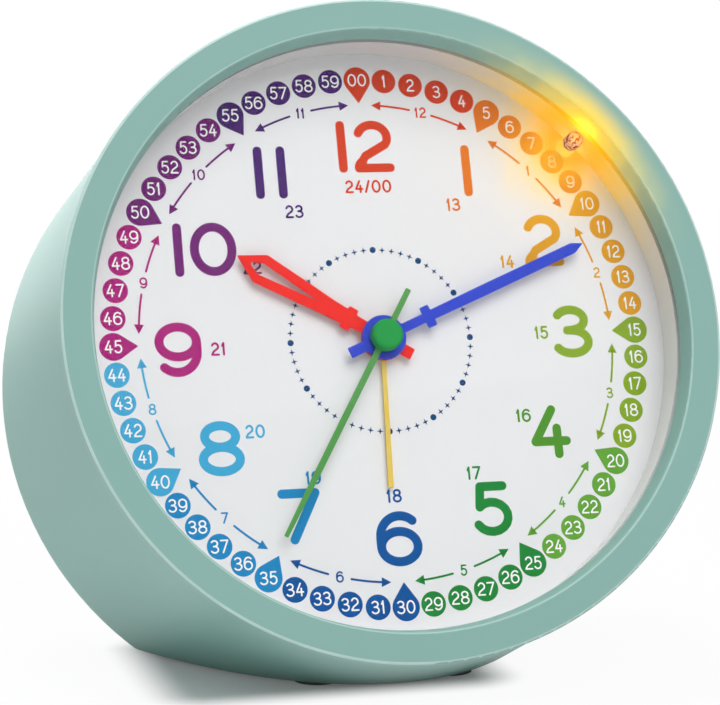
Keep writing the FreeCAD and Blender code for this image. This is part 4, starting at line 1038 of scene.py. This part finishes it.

# %% [markdown]
# ### Hour numerals
# The big numerals stand near their hour angles, each moved a little, as a letterer does, so
# that it looks centred. The small hours of the afternoon lie inside them in the same ink.

# %% Hour numerals
HOUR_PLACES = ((0.4, 34.9), (18.6, 30.2), (31.4, 17.1), (35.1, 0.4), (29.0, -17.4), (17.0, -30.4),
               (-0.1, -34.7), (-17.0, -30.0), (-29.7, -17.8), (-35.7, -0.5), (-29.7, 16.9),
               (-17.1, 30.4))
HOUR_HEIGHT = 9.45
HOUR_STROKE = 1.57
HOUR_GAP = 0.8
ELEVEN_GAP = 1.6
TEENS_PLACES = ((0.3, 27.6), (15.5, 24.0), (24.4, 13.4), (29.3, 0.4), (24.4, -14.3), (14.3, -24.0),
                (-0.3, -27.3), (-14.2, -23.5), (-23.6, -15.1), (-28.8, -0.6), (-21.7, 13.5),
                (-13.4, 23.3))
TEENS_HEIGHT = 2.35
TEENS_STROKE = 0.36
TEENS_SLIM = 0.82
TEENS_GAP = 0.75

hours = Print("hour_numerals")
teens = Print("afternoon_numerals")
for hour in range(12):
    x, y = HOUR_PLACES[hour]
    finish = DEEP_LEAF if hour == 4 else HOUR_INKS[hour]
    text = str(hour or 12).replace("1", "|")
    gap = ELEVEN_GAP if hour == 11 else HOUR_GAP
    hours.add(word(text, x, y, HOUR_HEIGHT, HOUR_STROKE, gap=gap), finish)
    x, y = TEENS_PLACES[hour]
    text = "24/00" if hour == 0 else str(12 + hour)
    teens.add(word(text, x, y, TEENS_HEIGHT, TEENS_STROKE, TEENS_SLIM, TEENS_GAP), finish)
hours.make()
teens.make()

# %% [markdown]
# ### Arrows
# Between two drops a double arrow follows the circle, broken by the number of the hour that the
# five minutes belong to. Its places are angles past the hour in degrees.

# %% Arrows
HOUR_ANGLE = 30
ARROW_CIRCLE = 42.3
ARROW_RISE = 0.2
ARROW_STEPS = 6
TIP_ANGLES = (3.0, 27.3)
LINE_ANGLES = ((4.6, 12.4), (18.0, 25.7))
HEAD_ANGLE = 2.25
HEAD_HALF = 0.85
LINE_WIDTH = 0.36
LABEL_ANGLE = 15.2
LABEL_HEIGHT = 1.95
LABEL_STROKE = 0.29
LABEL_SLIM = 0.82
LABEL_GAP = 0.8

arrows = Print("hour_arrows")
for hour in range(12):
    start = HOUR_ANGLE * hour
    finish = HOUR_INKS[hour]
    for low, high in LINE_ANGLES:
        path = [on_clock(start + low + (high - low) * k / ARROW_STEPS, ARROW_CIRCLE)
                for k in range(ARROW_STEPS + 1)]
        arrows.add([lifted(ribbon(path, LINE_WIDTH), ARROW_RISE)], finish)
    for tip, towards in zip(TIP_ANGLES, (1, -1)):
        base = start + tip + towards * HEAD_ANGLE
        corners = [on_clock(start + tip, ARROW_CIRCLE), on_clock(base, ARROW_CIRCLE + HEAD_HALF),
                   on_clock(base, ARROW_CIRCLE - HEAD_HALF)]
        arrows.add([lifted(corners, ARROW_RISE)], finish)
    x, y = on_clock(start + LABEL_ANGLE, ARROW_CIRCLE)
    arrows.add(word(str(hour or 12), x, y + ARROW_RISE, LABEL_HEIGHT, LABEL_STROKE, LABEL_SLIM, LABEL_GAP),
               finish)
arrows.make()

# %% [markdown]
# ### Ring of dots and stars
# A navy ring circles the spindle: a dot at each hour, and four small stars between one dot and the
# next.

# %% Ring of dots and stars
RING_CIRCLE = 16.1
DOT = 0.55
DOT_STEPS = 20
STAR_REACH = 0.60
STAR_WAIST = 0.19


def star(centre_x, centre_y, angle):
    """A four-pointed star with one point towards an angle."""
    made = []
    for k in range(8):
        size = STAR_REACH if k % 2 == 0 else STAR_WAIST
        turn = math.radians(90 - angle + 45 * k)
        made.append((centre_x + size * math.cos(turn), centre_y + size * math.sin(turn)))
    return made


dot_ring = Print("dot_ring")
for minute in range(60):
    angle = MINUTE_ANGLE * minute
    x, y = on_clock(angle, RING_CIRCLE)
    dot_ring.add([disc(x, y, DOT, DOT_STEPS) if minute % 5 == 0 else star(x, y, angle)], NAVY)
dot_ring.make()

# %% [markdown]
# The last step sets the Standard view transform.

bpy.context.scene.view_settings.view_transform = "Standard"
